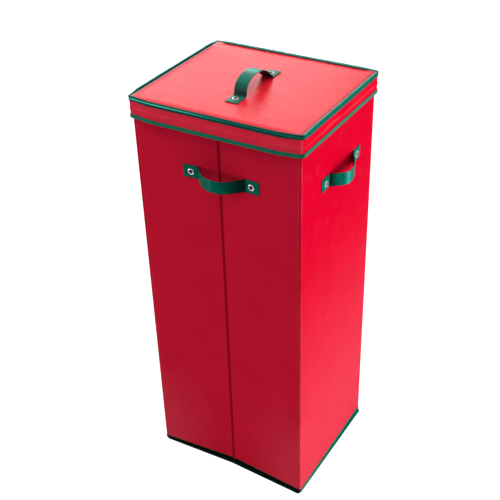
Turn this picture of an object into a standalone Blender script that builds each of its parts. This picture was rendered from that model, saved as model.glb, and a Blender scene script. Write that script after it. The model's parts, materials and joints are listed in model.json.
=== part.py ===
"""Gift wrap organizer: a tall box of cloth-covered boards with a lift-off lid.

The left and right walls stay flat. The front and the back are each two half walls that meet at a
crease, so six walls make a closed chain that folds in at both creases. Each wall is a flat cloth
sleeve round a stiff board, with a folded tape over its top and bottom edges. A square board lies
loose in the base and tips up against the left wall before the box is folded. Straps with hollow
eyelets are the handles on the four walls and on the lid.

Metres, +Z up, X along the front. The origin is on the floor under the middle of the box, and the
front faces -Y. The box stands with both creases pressed in a little, as it does when it is full
height and empty.
"""

import math

import bmesh
import bpy

# Driving dimensions of the whole box
BODY_WIDTH = 0.324
BODY_DEPTH = 0.277
OVERALL_HEIGHT = 0.800
CREASE_PRESS = 0.012

# Cloth, boards and the clearance between pieces that touch
CLOTH = 0.0006
BOARD = 0.0022
GAP = 0.0003
OVERRUN = 0.001

# Wall sleeves and the tapes over their edges
EDGE_ROUND = 0.0012
HEM_TAPE = 0.004
RIM_TAPE = 0.008

# Base
BASE_BOARD = 0.0024
BASE_BOARD_PLAY = 0.001
BASE_BOARD_ROUND = 0.003
BASE_CORNER = 0.006
BASE_CLOTH_INSET = 0.0004

# Lid
LID_OVERHANG = 0.0048
LID_CORNER = 0.0018
LID_DEPTH = 0.040
LID_SINK = 0.0008
BINDING_WIDTH = 0.004
BINDING_HEIGHT = 0.0066
BINDING_ROUND = 0.002
BINDING_EASE = 0.0006
SKIRT = 0.0014
SKIRT_ROUND = 0.0006
LID_HEM_TAPE = 0.007
LID_HEM_LEG = 0.0005

# Strap handles
STRAP_WIDTH = 0.024
STRAP = 0.0016
STRAP_LENGTH = 0.150
STRAP_TAB = 0.0255
STRAP_BEND = 0.005
STRAP_EASE = 0.0004
EYELET_INSET = 0.015
FRONT_HANDLE_DROP = 0.1215
FRONT_HANDLE_SHIFT = 0.0055
SIDE_HANDLE_DROP = 0.128
SIDE_HANDLE_SHIFT = 0.0065
LID_HANDLE_SHIFT = -0.013
LID_HANDLE_ASIDE = 0.004

# How each handle bows out, how far its fullest point leans, and how steeply it leaves its two tabs
FRONT_BOW = 0.030
FRONT_LEAN = 0.002
FRONT_RISE = math.radians(48)
SIDE_BOW = 0.0255
SIDE_LEAN = 0.016
SIDE_NEAR_RISE = math.radians(52)
SIDE_FAR_RISE = math.radians(23)
LID_BOW = 0.0286
LID_LEAN = 0.007
LID_FRONT_RISE = math.radians(85)
LID_BACK_RISE = math.radians(46)
BOW_FULLNESS_SHARE = 0.40

# Hollow eyelets, as radii and heights
EYELET_BORE = 0.0031
EYELET_TUBE = 0.0037
EYELET_FLANGE = 0.0062
EYELET_CROWN = 0.0012
EYELET_WASHER = 0.0052
EYELET_CURL = 0.0007

# How finely curves are drawn
CORNER_STEPS = 3
PLAN_CORNER_STEPS = 5
BINDING_STEPS = 8
BEND_STEPS = 4
BOW_STEPS = 10
CURL_STEPS = 4
EYELET_STEPS = 18
HOLE_STEPS = 20

# Colours, as red, green and blue out of 255
RED_CLOTH = (214, 20, 48)
GREEN_TAPE = (8, 96, 78)
GREEN_STRAP = (6, 104, 84)
GREY_BOARD = (150, 140, 126)
BRIGHT_METAL = (222, 222, 226)

# Sizes worked out from those above
WALL = BOARD + 2 * (CLOTH + GAP)
HALF_WIDTH = BODY_WIDTH / 2
HALF_DEPTH = BODY_DEPTH / 2
INNER_HALF_WIDTH = HALF_WIDTH - WALL
CREASE_REACH = math.hypot(INNER_HALF_WIDTH, WALL - CREASE_PRESS)
HALF_WALL = math.sqrt(CREASE_REACH**2 - WALL**2)
REST_FOLD = math.atan2(CREASE_PRESS - WALL, INNER_HALF_WIDTH) + math.atan2(WALL, HALF_WALL)
BASE_LAYER_FLOOR = CLOTH + GAP
BASE_LAYER_TOP = BASE_LAYER_FLOOR + BASE_BOARD
WALL_FOOT = BASE_LAYER_TOP + GAP
LID_TOP = OVERALL_HEIGHT - LID_SINK
LID_UNDERSIDE = LID_TOP - WALL
WALL_TOP = LID_UNDERSIDE - GAP
BINDING_FOOT = OVERALL_HEIGHT - BINDING_HEIGHT
BINDING_INNER = LID_OVERHANG - BINDING_WIDTH
LID_HEM_FOOT = OVERALL_HEIGHT - LID_DEPTH
SKIRT_OUTER = LID_OVERHANG - LID_HEM_LEG - GAP
SKIRT_INNER = SKIRT_OUTER - SKIRT
SKIRT_FOOT = LID_HEM_FOOT + LID_HEM_LEG + GAP
SKIRT_TOP = BINDING_FOOT - GAP
STRAP_BEND_START = STRAP_LENGTH / 2 - STRAP_TAB
HALF_SPACING = STRAP_LENGTH / 2 - EYELET_INSET
EYELET_SEAT = STRAP + 2 * GAP
FRONT_HANDLE_HEIGHT = OVERALL_HEIGHT - FRONT_HANDLE_DROP
SIDE_HANDLE_HEIGHT = OVERALL_HEIGHT - SIDE_HANDLE_DROP
QUARTER = math.pi / 2
LYING_FLAT = (QUARTER, 0, QUARTER)


def clear_scene():
    """Empty the scene so that the script can be run again."""
    for obj in list(bpy.data.objects):
        bpy.data.objects.remove(obj, do_unlink=True)


def linear(channel):
    """Turn one colour channel out of 255 into the linear value that a shader takes."""
    share = channel / 255
    return share / 12.92 if share <= 0.04045 else ((share + 0.055) / 1.055) ** 2.4


def material(name, colour, roughness, metallic=0.0):
    """Make a plain material, or return the one that already has this name."""
    found = bpy.data.materials.get(name)
    if found:
        return found
    made = bpy.data.materials.new(name)
    made.use_nodes = True
    shader = made.node_tree.nodes["Principled BSDF"]
    shader.inputs["Base Color"].default_value = (*[linear(c) for c in colour], 1.0)
    shader.inputs["Roughness"].default_value = roughness
    shader.inputs["Metallic"].default_value = metallic
    return made


def red_cloth():
    return material("red_cloth", RED_CLOTH, 0.55)


def green_tape():
    return material("green_tape", GREEN_TAPE, 0.6)


def green_strap():
    return material("green_strap", GREEN_STRAP, 0.45)


def grey_board():
    return material("grey_board", GREY_BOARD, 0.9)


def bright_metal():
    return material("bright_metal", BRIGHT_METAL, 0.18, 1.0)


def add_object(name, mesh, parent, location, rotation, finish):
    """Put a mesh in the scene under a name, hung from an empty."""
    obj = bpy.data.objects.new(name, mesh)
    bpy.context.collection.objects.link(obj)
    obj.parent = parent
    obj.location = location
    obj.rotation_euler = rotation
    if finish and not mesh.materials:
        mesh.materials.append(finish)
    return obj


def add_axis(name, parent, location, turn=0.0):
    """Add an empty on a joint's axis, turned about Z by the joint's rest angle."""
    axis = bpy.data.objects.new(name, None)
    bpy.context.collection.objects.link(axis)
    axis.parent = parent
    axis.location = location
    axis.rotation_euler = (0, 0, turn)
    return axis


def loft(name, loops, ring=False):
    """Skin equal loops of points in order. A ring joins the last to the first, else both are capped."""
    shape = bmesh.new()
    rows = [[shape.verts.new(point) for point in loop] for loop in loops]
    count = len(rows[0])
    pairs = list(zip(rows, rows[1:]))
    if ring:
        pairs.append((rows[-1], rows[0]))
    for lower, upper in pairs:
        for i in range(count):
            j = (i + 1) % count
            shape.faces.new((lower[i], lower[j], upper[j], upper[i]))
    if not ring:
        shape.faces.new(rows[0][::-1])
        shape.faces.new(rows[-1])
    bmesh.ops.remove_doubles(shape, verts=shape.verts, dist=GAP / 100)
    bmesh.ops.recalc_face_normals(shape, faces=shape.faces)
    mesh = bpy.data.meshes.new(name)
    shape.to_mesh(mesh)
    shape.free()
    return mesh


def arc(centre, radius, start, end, steps):
    """Points on an arc in the plane, from one angle to another."""
    turns = [start + (end - start) * i / steps for i in range(steps + 1)]
    return [(centre[0] + radius * math.cos(a), centre[1] + radius * math.sin(a)) for a in turns]


def rectangle(low, high, radius, steps=CORNER_STEPS):
    """A rounded rectangle, anticlockwise from the corner at the high ends of both axes."""
    inner_x = (low[0] + radius, high[0] - radius)
    inner_y = (low[1] + radius, high[1] - radius)
    points = []
    for quarter, (i, j) in enumerate(((1, 1), (0, 1), (0, 0), (1, 0))):
        start = quarter * QUARTER
        points += arc((inner_x[i], inner_y[j]), radius, start, start + QUARTER, steps)
    return points


def at_height(outline, height):
    """Lift an outline in the plane to a height."""
    return [(x, y, height) for x, y in outline]


def add_hole(obj, cutter):
    """Cut a hole that stays live on the object."""
    hole = obj.modifiers.new("hole", "BOOLEAN")
    hole.operation = "DIFFERENCE"
    hole.solver = "EXACT"
    hole.object = cutter


def hole_cutter(name, parent, location, rotation, radius, length):
    """A round cutter along its own Z, centred on its origin."""
    shape = bmesh.new()
    bmesh.ops.create_cone(
        shape, cap_ends=True, segments=HOLE_STEPS, radius1=radius, radius2=radius, depth=length
    )
    mesh = bpy.data.meshes.new(name)
    shape.to_mesh(mesh)
    shape.free()
    cutter = add_object(name, mesh, parent, location, rotation, None)
    cutter.hide_render = True
    cutter.display_type = "WIRE"
    return cutter


def wall_outlines(start, end):
    """The outline of a wall's sleeve seen from above, and the outline of the slot inside it."""
    outer = rectangle((start, -WALL / 2), (end, WALL / 2), EDGE_ROUND)
    slot = rectangle(
        (start + CLOTH, -WALL / 2 + CLOTH), (end - CLOTH, WALL / 2 - CLOTH), EDGE_ROUND - CLOTH
    )
    return outer, slot


def sleeve_mesh(name, start, end, foot, top):
    """A flat cloth sleeve, open at both ends."""
    outer, slot = wall_outlines(start, end)
    loops = [at_height(outer, foot), at_height(outer, top), at_height(slot, top), at_height(slot, foot)]
    return loft(name, loops, ring=True)


def edge_tape_mesh(name, start, end, closed_at, open_at):
    """A tape folded over a wall's edge: a shallow trough that the board's edge lies in."""
    outer, slot = wall_outlines(start, end)
    trough = closed_at + math.copysign(CLOTH, open_at - closed_at)
    loops = [
        at_height(outer, closed_at),
        at_height(outer, open_at),
        at_height(slot, open_at),
        at_height(slot, trough),
    ]
    return loft(name, loops)


def board_mesh(name, start, end, foot, top):
    """The stiff board that fills a sleeve, clear of the cloth all round."""
    margin = CLOTH + GAP
    outline = rectangle((start + margin, -BOARD / 2), (end - margin, BOARD / 2), GAP, 1)
    return loft(name, [at_height(outline, foot), at_height(outline, top)])


def wall_meshes(name, start, end):
    """The four pieces of one wall, in a frame whose X runs along the wall's middle plane."""
    cover_foot = WALL_FOOT + HEM_TAPE + GAP
    cover_top = WALL_TOP - RIM_TAPE - GAP
    board_foot = WALL_FOOT + CLOTH + GAP
    board_top = WALL_TOP - CLOTH - GAP
    return {
        "cover": (sleeve_mesh(f"{name}_cover", start, end, cover_foot, cover_top), red_cloth()),
        "board": (board_mesh(f"{name}_board", start, end, board_foot, board_top), grey_board()),
        "hem": (edge_tape_mesh(f"{name}_hem", start, end, WALL_FOOT, WALL_FOOT + HEM_TAPE), green_tape()),
        "rim": (edge_tape_mesh(f"{name}_rim", start, end, WALL_TOP, WALL_TOP - RIM_TAPE), green_tape()),
    }


def add_wall(name, meshes, parent, location, turn, holes):
    """Place one wall and drill its cover and board. Each hole is a distance along it and a height."""
    pieces = {
        part: add_object(f"{name}_{part}", mesh, parent, location, (0, 0, turn), finish)
        for part, (mesh, finish) in meshes.items()
    }
    for number, (along, height) in enumerate(holes):
        place = (
            location[0] + along * math.cos(turn),
            location[1] + along * math.sin(turn),
            height,
        )
        facing = (QUARTER, 0, turn)
        cutter = hole_cutter(
            f"{name}_drill_{number}", parent, place, facing, EYELET_TUBE + GAP, WALL + 2 * OVERRUN
        )
        add_hole(pieces["cover"], cutter)
        add_hole(pieces["board"], cutter)


def bow_line(start, way, apex):
    """A smooth line from where a strap leaves its bend to the level top of its bow."""
    reach = BOW_FULLNESS_SHARE * math.dist(start, apex)
    first = (start[0] + reach * way[0], start[1] + reach * way[1])
    second = (apex[0] + reach, apex[1])
    points = []
    for step in range(BOW_STEPS + 1):
        t = step / BOW_STEPS
        weights = ((1 - t) ** 3, 3 * t * (1 - t) ** 2, 3 * t**2 * (1 - t), t**3)
        corners = (start, first, second, apex)
        points.append(tuple(sum(w * c[i] for w, c in zip(weights, corners)) for i in range(2)))
    return points


def half_strap(tilt, reach, apex, rise):
    """The right half of a strap's middle line, from its tab's end to the top of its bow.

    The tab lies on a wall that falls back towards the middle by the tilt, and ends at the reach.
    """
    lift = GAP + STRAP / 2
    along, out = (math.cos(tilt), math.sin(tilt)), (-math.sin(tilt), math.cos(tilt))
    tab_end = [reach * along[i] + lift * out[i] for i in range(2)]
    centre = [(reach - STRAP_TAB) * along[i] + (lift + STRAP_BEND) * out[i] for i in range(2)]
    bend = arc(centre, STRAP_BEND, tilt - QUARTER, -QUARTER - rise, BEND_STEPS)
    bow = bow_line(bend[-1], (-math.cos(rise), math.sin(rise)), apex)
    return [tuple(tab_end)] + bend + bow[1:]


def strap_line(bow, lean, left_rise, right_rise, tilt=0.0, shift=0.0):
    """The middle line of a strap: across, and out from the wall or from the crease that it spans.

    The strap's middle is moved along the wall by the shift, and its bow is fullest at the lean
    from there.
    """
    half = STRAP_LENGTH / 2
    top = bow + GAP + STRAP / 2 + STRAP_BEND_START * math.sin(tilt)
    left = half_strap(tilt, half - shift, (-shift - lean, top), left_rise)
    right = half_strap(tilt, half + shift, (shift + lean, top), right_rise)
    return [(-x, y) for x, y in left] + right[-2::-1]


def strap_mesh(name, line):
    """A strap's middle sheet: its line drawn out to the strap's width."""
    shape = bmesh.new()
    verts = [shape.verts.new((x, y, -STRAP_WIDTH / 2)) for x, y in line]
    edges = [shape.edges.new(pair) for pair in zip(verts, verts[1:])]
    drawn = bmesh.ops.extrude_edge_only(shape, edges=edges)["geom"]
    moved = [item for item in drawn if isinstance(item, bmesh.types.BMVert)]
    bmesh.ops.translate(shape, verts=moved, vec=(0, 0, STRAP_WIDTH))
    bmesh.ops.recalc_face_normals(shape, faces=shape.faces)
    mesh = bpy.data.meshes.new(name)
    shape.to_mesh(mesh)
    shape.free()
    return mesh


def add_strap(name, mesh, parent, location, rotation, tilt=0.0, shift=0.0):
    """Place a strap, thicken it, ease its edges and punch its two eyelet holes."""
    strap = add_object(name, mesh, parent, location, rotation, green_strap())
    sheet = strap.modifiers.new("thickness", "SOLIDIFY")
    sheet.thickness = STRAP
    sheet.offset = 0
    sheet.use_even_offset = True
    ease = strap.modifiers.new("eased_edges", "BEVEL")
    ease.width = STRAP_EASE
    ease.segments = 1
    ease.limit_method = "ANGLE"
    ease.angle_limit = math.radians(60)
    for side in (-1, 1):
        punch = hole_cutter(
            f"{name}_punch_{'left' if side < 0 else 'right'}",
            strap,
            (
                (shift + side * HALF_SPACING) * math.cos(tilt),
                (HALF_SPACING + side * shift) * math.sin(tilt),
                0,
            ),
            (QUARTER, 0, side * tilt),
            EYELET_TUBE + GAP,
            2 * (EYELET_SEAT + OVERRUN),
        )
        add_hole(strap, punch)
    return strap


def curl(inner, outer, height, rise):
    """A half ellipse over a flange, from its outer edge to its inner one."""
    middle, reach = (inner + outer) / 2, (outer - inner) / 2
    turns = [math.pi * i / CURL_STEPS for i in range(CURL_STEPS + 1)]
    return [(middle + reach * math.cos(a), height + rise * math.sin(a)) for a in turns]


def eyelet_mesh(name, grip):
    """A hollow eyelet, turned about Z. Zero height is the face that the strap's tab lies on."""
    crown = curl(EYELET_BORE, EYELET_FLANGE, EYELET_SEAT, EYELET_CROWN)
    foot = curl(EYELET_BORE, EYELET_WASHER, -grip - GAP, -EYELET_CURL)
    profile = [(EYELET_TUBE, EYELET_SEAT), *crown, *reversed(foot), (EYELET_TUBE, -grip - GAP)]
    shape = bmesh.new()
    verts = [shape.verts.new((radius, 0, height)) for radius, height in profile]
    edges = [shape.edges.new(pair) for pair in zip(verts, verts[1:] + verts[:1])]
    bmesh.ops.spin(
        shape,
        geom=verts + edges,
        cent=(0, 0, 0),
        axis=(0, 0, 1),
        angle=2 * math.pi,
        steps=EYELET_STEPS,
        use_merge=True,
    )
    bmesh.ops.recalc_face_normals(shape, faces=shape.faces)
    mesh = bpy.data.meshes.new(name)
    shape.to_mesh(mesh)
    shape.free()
    mesh.shade_smooth()
    return mesh


def plan_outline(inset):
    """The standing box seen from above, drawn in by an inset: square corners eased, creases pressed in."""
    half_x, half_y = HALF_WIDTH - inset, HALF_DEPTH - inset
    radius = BASE_CORNER - inset
    points = rectangle((-half_x, -half_y), (half_x, half_y), radius, PLAN_CORNER_STEPS)
    crease = HALF_DEPTH - CREASE_PRESS - inset / math.cos(REST_FOLD)
    quarter = PLAN_CORNER_STEPS + 1
    back, front = [(0, crease)], [(0, -crease)]
    return points[:quarter] + back + points[quarter : 3 * quarter] + front + points[3 * quarter :]


def add_base(root):
    """The cloth under the box and the tape ring that joins it to the walls."""
    under = plan_outline(BASE_CLOTH_INSET)
    cloth = loft("base_cloth", [at_height(under, 0), at_height(under, CLOTH)])
    add_object("base_cloth", cloth, root, (0, 0, 0), (0, 0, 0), red_cloth())
    outer, inner = plan_outline(0), plan_outline(WALL)
    loops = [
        at_height(outer, BASE_LAYER_FLOOR),
        at_height(outer, BASE_LAYER_TOP),
        at_height(inner, BASE_LAYER_TOP),
        at_height(inner, BASE_LAYER_FLOOR),
    ]
    ring = loft("base_binding", loops, ring=True)
    add_object("base_binding", ring, root, (0, 0, 0), (0, 0, 0), green_tape())


def add_base_board(root):
    """The loose board in the base, hung on its upper left edge."""
    play = BASE_BOARD_PLAY
    length = 2 * (INNER_HALF_WIDTH - play)
    half_depth = HALF_DEPTH - WALL - CREASE_PRESS - GAP
    axis = add_axis("base_board_axis", root, (play - INNER_HALF_WIDTH, 0, BASE_LAYER_TOP))
    outline = rectangle((0, -half_depth), (length, half_depth), BASE_BOARD_ROUND, PLAN_CORNER_STEPS)
    mesh = loft("base_board", [at_height(outline, -BASE_BOARD), at_height(outline, 0)])
    add_object("base_board", mesh, axis, (0, 0, 0), (0, 0, 0), red_cloth())


def lid_outline(offset):
    """A lid outline at an offset from the box's walls, round outside and square further in."""
    radius = max(LID_CORNER - (LID_OVERHANG - offset), 0)
    half_x, half_y = HALF_WIDTH + offset, HALF_DEPTH + offset
    return rectangle((-half_x, -half_y), (half_x, half_y), radius, PLAN_CORNER_STEPS)


def lid_band(name, profile, parent, finish):
    """Sweep a closed profile of offsets and heights round the lid."""
    loops = [at_height(lid_outline(offset), height - LID_UNDERSIDE) for offset, height in profile]
    return add_object(name, loft(name, loops, ring=True), parent, (0, 0, 0), (0, 0, 0), finish)


def edge_binding_profile():
    """The rolled tape round the lid's top edge: a round head on straight sides."""
    head = (LID_OVERHANG - BINDING_ROUND, OVERALL_HEIGHT - BINDING_ROUND)
    far = (BINDING_INNER + BINDING_ROUND, OVERALL_HEIGHT - BINDING_ROUND)
    half = BINDING_STEPS // 2
    rolled = arc(head, BINDING_ROUND, 0, QUARTER, half)
    inward = arc(far, BINDING_ROUND, QUARTER, math.pi, half)
    if math.isclose(head[0], far[0]):
        inward = inward[1:]
    eased = arc(
        (LID_OVERHANG - BINDING_EASE, BINDING_FOOT + BINDING_EASE), BINDING_EASE, -QUARTER, 0, 2
    )
    return rolled + inward + [(BINDING_INNER, BINDING_FOOT)] + eased


def lid_hem_profile():
    """The tape folded over the skirt's lower edge: a trough with two thin legs."""
    slot_outer, slot_inner = SKIRT_OUTER + GAP, SKIRT_INNER - GAP
    inner, top = slot_inner - LID_HEM_LEG, LID_HEM_FOOT + LID_HEM_TAPE
    floor = LID_HEM_FOOT + LID_HEM_LEG
    return [
        (LID_OVERHANG, LID_HEM_FOOT),
        (LID_OVERHANG, top),
        (slot_outer, top),
        (slot_outer, floor),
        (slot_inner, floor),
        (slot_inner, top),
        (inner, top),
        (inner, LID_HEM_FOOT),
    ]


def add_skirts(lid):
    """The four strips of doubled cloth that hang round the lid."""
    foot, top = SKIRT_FOOT - LID_UNDERSIDE, SKIRT_TOP - LID_UNDERSIDE
    length = 2 * (HALF_WIDTH + SKIRT_OUTER)
    depth = 2 * (HALF_DEPTH + SKIRT_INNER - GAP)
    long_outline = rectangle((-length / 2, -SKIRT / 2), (length / 2, SKIRT / 2), SKIRT_ROUND)
    short_outline = rectangle((-depth / 2, -SKIRT / 2), (depth / 2, SKIRT / 2), GAP)
    long_mesh = loft("lid_skirt_long", [at_height(long_outline, foot), at_height(long_outline, top)])
    short_mesh = loft("lid_skirt_short", [at_height(short_outline, foot), at_height(short_outline, top)])
    out_y = HALF_DEPTH + SKIRT_INNER + SKIRT / 2
    out_x = HALF_WIDTH + SKIRT_INNER + SKIRT / 2
    add_object("lid_skirt_front", long_mesh, lid, (0, -out_y, 0), (0, 0, 0), red_cloth())
    add_object("lid_skirt_back", long_mesh, lid, (0, out_y, 0), (0, 0, 0), red_cloth())
    add_object("lid_skirt_left", short_mesh, lid, (-out_x, 0, 0), (0, 0, QUARTER), red_cloth())
    add_object("lid_skirt_right", short_mesh, lid, (out_x, 0, 0), (0, 0, QUARTER), red_cloth())


def add_lid_panel(lid):
    """The lid's sleeve and board, with holes under the two eyelets."""
    edge = BINDING_INNER - GAP
    half_x, half_y = HALF_WIDTH + edge, HALF_DEPTH + edge
    middle = (0, 0, WALL / 2)
    cover_mesh = sleeve_mesh("lid_cover", -half_y, half_y, -half_x, half_x)
    cover = add_object("lid_cover", cover_mesh, lid, middle, LYING_FLAT, red_cloth())
    stop = half_x - CLOTH - GAP
    mesh = board_mesh("lid_board", -half_y, half_y, -stop, stop)
    board = add_object("lid_board", mesh, lid, middle, LYING_FLAT, grey_board())
    for side, word in ((-1, "front"), (1, "back")):
        place = (LID_HANDLE_ASIDE, LID_HANDLE_SHIFT + side * HALF_SPACING, WALL)
        skin_drill = hole_cutter(
            f"lid_cover_drill_{word}", lid, place, (0, 0, 0), EYELET_TUBE + GAP, 2 * (CLOTH + OVERRUN)
        )
        add_hole(cover, skin_drill)
        pocket_drill = hole_cutter(
            f"lid_board_drill_{word}", lid, place, (0, 0, 0), EYELET_WASHER + GAP, 2 * (WALL + OVERRUN)
        )
        add_hole(board, pocket_drill)


def add_lid(root):
    """The lid, which lifts straight off the walls' top edges."""
    lid = add_axis("lid_axis", root, (0, 0, LID_UNDERSIDE))
    add_lid_panel(lid)
    add_skirts(lid)
    lid_band("lid_edge_binding", edge_binding_profile(), lid, green_tape())
    lid_band("lid_hem_binding", lid_hem_profile(), lid, green_tape())
    top = (LID_HANDLE_ASIDE, LID_HANDLE_SHIFT, WALL)
    line = strap_line(LID_BOW, -LID_LEAN, LID_FRONT_RISE, LID_BACK_RISE)
    add_strap("lid_strap", strap_mesh("lid_strap", line), lid, top, LYING_FLAT)
    ring = eyelet_mesh("lid_eyelet", CLOTH)
    for side, word in ((-1, "front"), (1, "back")):
        place = (LID_HANDLE_ASIDE, LID_HANDLE_SHIFT + side * HALF_SPACING, WALL)
        add_object(f"lid_eyelet_{word}", ring, lid, place, (0, 0, 0), bright_metal())


def add_side_walls(left, right, ring):
    """The two flat side walls, each with a strap handle."""
    meshes = wall_meshes("side", -HALF_DEPTH, HALF_DEPTH)
    holes = [
        (SIDE_HANDLE_SHIFT - HALF_SPACING, SIDE_HANDLE_HEIGHT),
        (SIDE_HANDLE_SHIFT + HALF_SPACING, SIDE_HANDLE_HEIGHT),
    ]
    line = strap_line(SIDE_BOW, SIDE_LEAN, SIDE_FAR_RISE, SIDE_NEAR_RISE)
    strap = strap_mesh("side_strap", line)
    for name, parent, middle, out in (
        ("left_side", left, (WALL / 2 - HALF_WIDTH, 0, 0), -1),
        ("right_side", right, (WALL / 2, HALF_DEPTH - WALL, 0), 1),
    ):
        add_wall(name, meshes, parent, middle, QUARTER, holes)
        face = middle[0] + out * WALL / 2
        place = (face, middle[1] + SIDE_HANDLE_SHIFT, SIDE_HANDLE_HEIGHT)
        add_strap(f"{name}_strap", strap, parent, place, (0, 0, -out * QUARTER))
        for side, word in ((-1, "near"), (1, "far")):
            spot = (face, place[1] + side * HALF_SPACING, SIDE_HANDLE_HEIGHT)
            turn = (0, out * QUARTER, 0)
            add_object(f"{name}_eyelet_{word}", ring, parent, spot, turn, bright_metal())


def add_folding_wall(name, left_axis, crease_axis, meshes, out, strap, ring):
    """One creased wall: two half walls, the strap across the crease and its eyelets.

    Out is -1 on the front and 1 on the back. The left half hangs from the corner at its inner face,
    and the right half hangs from the crease at its outer face. The handle sits a little to the
    right, as it is seen from outside.
    """
    to_left = HALF_SPACING + out * FRONT_HANDLE_SHIFT
    to_right = HALF_SPACING - out * FRONT_HANDLE_SHIFT
    left_holes = [(to_left, FRONT_HANDLE_HEIGHT)]
    right_holes = [(to_right, FRONT_HANDLE_HEIGHT)]
    add_wall(f"{name}_left", meshes, left_axis, (HALF_WALL, out * WALL / 2, 0), math.pi, left_holes)
    add_wall(f"{name}_right", meshes, crease_axis, (0, -out * WALL / 2, 0), 0, right_holes)
    crease = (HALF_WALL, out * WALL, FRONT_HANDLE_HEIGHT)
    turn = out * REST_FOLD + (0 if out > 0 else math.pi)
    add_strap(
        f"{name}_strap", strap, left_axis, crease, (0, 0, turn), REST_FOLD, -FRONT_HANDLE_SHIFT
    )
    facing = (-out * QUARTER, 0, 0)
    left_spot = (HALF_WALL - to_left, out * WALL, FRONT_HANDLE_HEIGHT)
    right_spot = (to_right, 0, FRONT_HANDLE_HEIGHT)
    add_object(f"{name}_eyelet_left", ring, left_axis, left_spot, facing, bright_metal())
    add_object(f"{name}_eyelet_right", ring, crease_axis, right_spot, facing, bright_metal())


def add_fold_axes(root):
    """The chain of cloth hinges: front left corner, front crease, right corner, and the back's two."""
    corner_x, corner_y = -INNER_HALF_WIDTH, HALF_DEPTH - WALL
    front = add_axis("front_left_axis", root, (corner_x, -corner_y, 0), REST_FOLD)
    front_crease = add_axis("front_crease_axis", front, (HALF_WALL, -WALL, 0), -2 * REST_FOLD)
    right = add_axis("right_corner_axis", front_crease, (HALF_WALL, WALL, 0), REST_FOLD)
    back = add_axis("back_left_axis", root, (corner_x, corner_y, 0), -REST_FOLD)
    back_crease = add_axis("back_crease_axis", back, (HALF_WALL, WALL, 0), 2 * REST_FOLD)
    return front, front_crease, right, back, back_crease


def build():
    """Build the whole box, standing with its lid on."""
    clear_scene()
    root = add_axis("floor_middle", None, (0, 0, 0))
    front, front_crease, right, back, back_crease = add_fold_axes(root)
    line = strap_line(FRONT_BOW, -FRONT_LEAN, FRONT_RISE, FRONT_RISE, REST_FOLD, -FRONT_HANDLE_SHIFT)
    creased_strap = strap_mesh("creased_strap", line)
    ring = eyelet_mesh("wall_eyelet", WALL)
    add_base(root)
    add_base_board(root)
    add_side_walls(root, right, ring)
    half = wall_meshes("half", GAP / 2, HALF_WALL - GAP)
    add_folding_wall("front", front, front_crease, half, -1, creased_strap, ring)
    add_folding_wall("back", back, back_crease, half, 1, creased_strap, ring)
    add_lid(root)


build()
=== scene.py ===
"""Looks of the gift wrap organizer: a tall collapsible box of red cloth with a lift-off lid.

Each wall is a cloth sleeve over a board, bound with folded green tape at its foot and at its rim.
The handles are webbing straps held by hollow eyelets. Everything is in metres, in the frame of the
CAD model: +Z up, the front faces -Y, and the origin is on the floor under the middle of the box.
"""

from __future__ import annotations

import json
import logging
import math
from collections.abc import Callable, Iterator, Sequence
from contextlib import contextmanager
from dataclasses import dataclass, replace
from enum import Enum

import bmesh
import bpy
import numpy as np
from mathutils import Matrix, Vector

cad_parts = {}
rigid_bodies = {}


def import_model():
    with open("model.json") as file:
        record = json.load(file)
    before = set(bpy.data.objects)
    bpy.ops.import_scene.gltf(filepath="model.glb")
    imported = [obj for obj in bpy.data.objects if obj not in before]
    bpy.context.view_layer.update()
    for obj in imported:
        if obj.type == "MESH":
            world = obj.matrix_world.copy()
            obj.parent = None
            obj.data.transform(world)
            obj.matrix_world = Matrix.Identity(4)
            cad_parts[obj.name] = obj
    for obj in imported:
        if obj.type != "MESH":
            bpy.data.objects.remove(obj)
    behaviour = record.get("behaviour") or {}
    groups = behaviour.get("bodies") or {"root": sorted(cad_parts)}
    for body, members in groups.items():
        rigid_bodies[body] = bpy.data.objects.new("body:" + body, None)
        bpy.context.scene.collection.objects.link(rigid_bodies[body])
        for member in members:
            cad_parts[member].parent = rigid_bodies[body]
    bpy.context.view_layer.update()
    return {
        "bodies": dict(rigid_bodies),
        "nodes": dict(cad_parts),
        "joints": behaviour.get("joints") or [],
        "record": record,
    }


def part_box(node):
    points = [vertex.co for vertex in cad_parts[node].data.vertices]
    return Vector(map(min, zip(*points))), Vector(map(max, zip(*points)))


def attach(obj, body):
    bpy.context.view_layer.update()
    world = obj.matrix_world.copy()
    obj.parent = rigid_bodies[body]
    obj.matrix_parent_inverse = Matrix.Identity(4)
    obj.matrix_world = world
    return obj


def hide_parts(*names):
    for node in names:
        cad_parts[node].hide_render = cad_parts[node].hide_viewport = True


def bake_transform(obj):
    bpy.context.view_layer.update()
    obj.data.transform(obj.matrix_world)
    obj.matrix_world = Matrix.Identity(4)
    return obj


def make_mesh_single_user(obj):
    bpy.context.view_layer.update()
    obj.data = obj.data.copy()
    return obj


LOG = logging.getLogger("organizer")

Object = bpy.types.Object
Material = bpy.types.Material
Point = tuple[float, float, float]
Span = tuple[float, float]
Tone = tuple[int, int, int]
Test = Callable[[Vector, Vector], bool]
Rule = Callable[[np.ndarray], np.ndarray]
PairRule = Callable[[np.ndarray, np.ndarray], np.ndarray]

UP = (0, 0, 1)
WHITE = (1, 1, 1, 1)
NEAR = 1e-5  # places nearer than this are the same one
LEVEL = 0.9  # a normal or edge with more of an axis than this faces or runs along it
HOLE = 0.0040  # the radius of the eyelets' holes
HOLE_SIDES = 32


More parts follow.
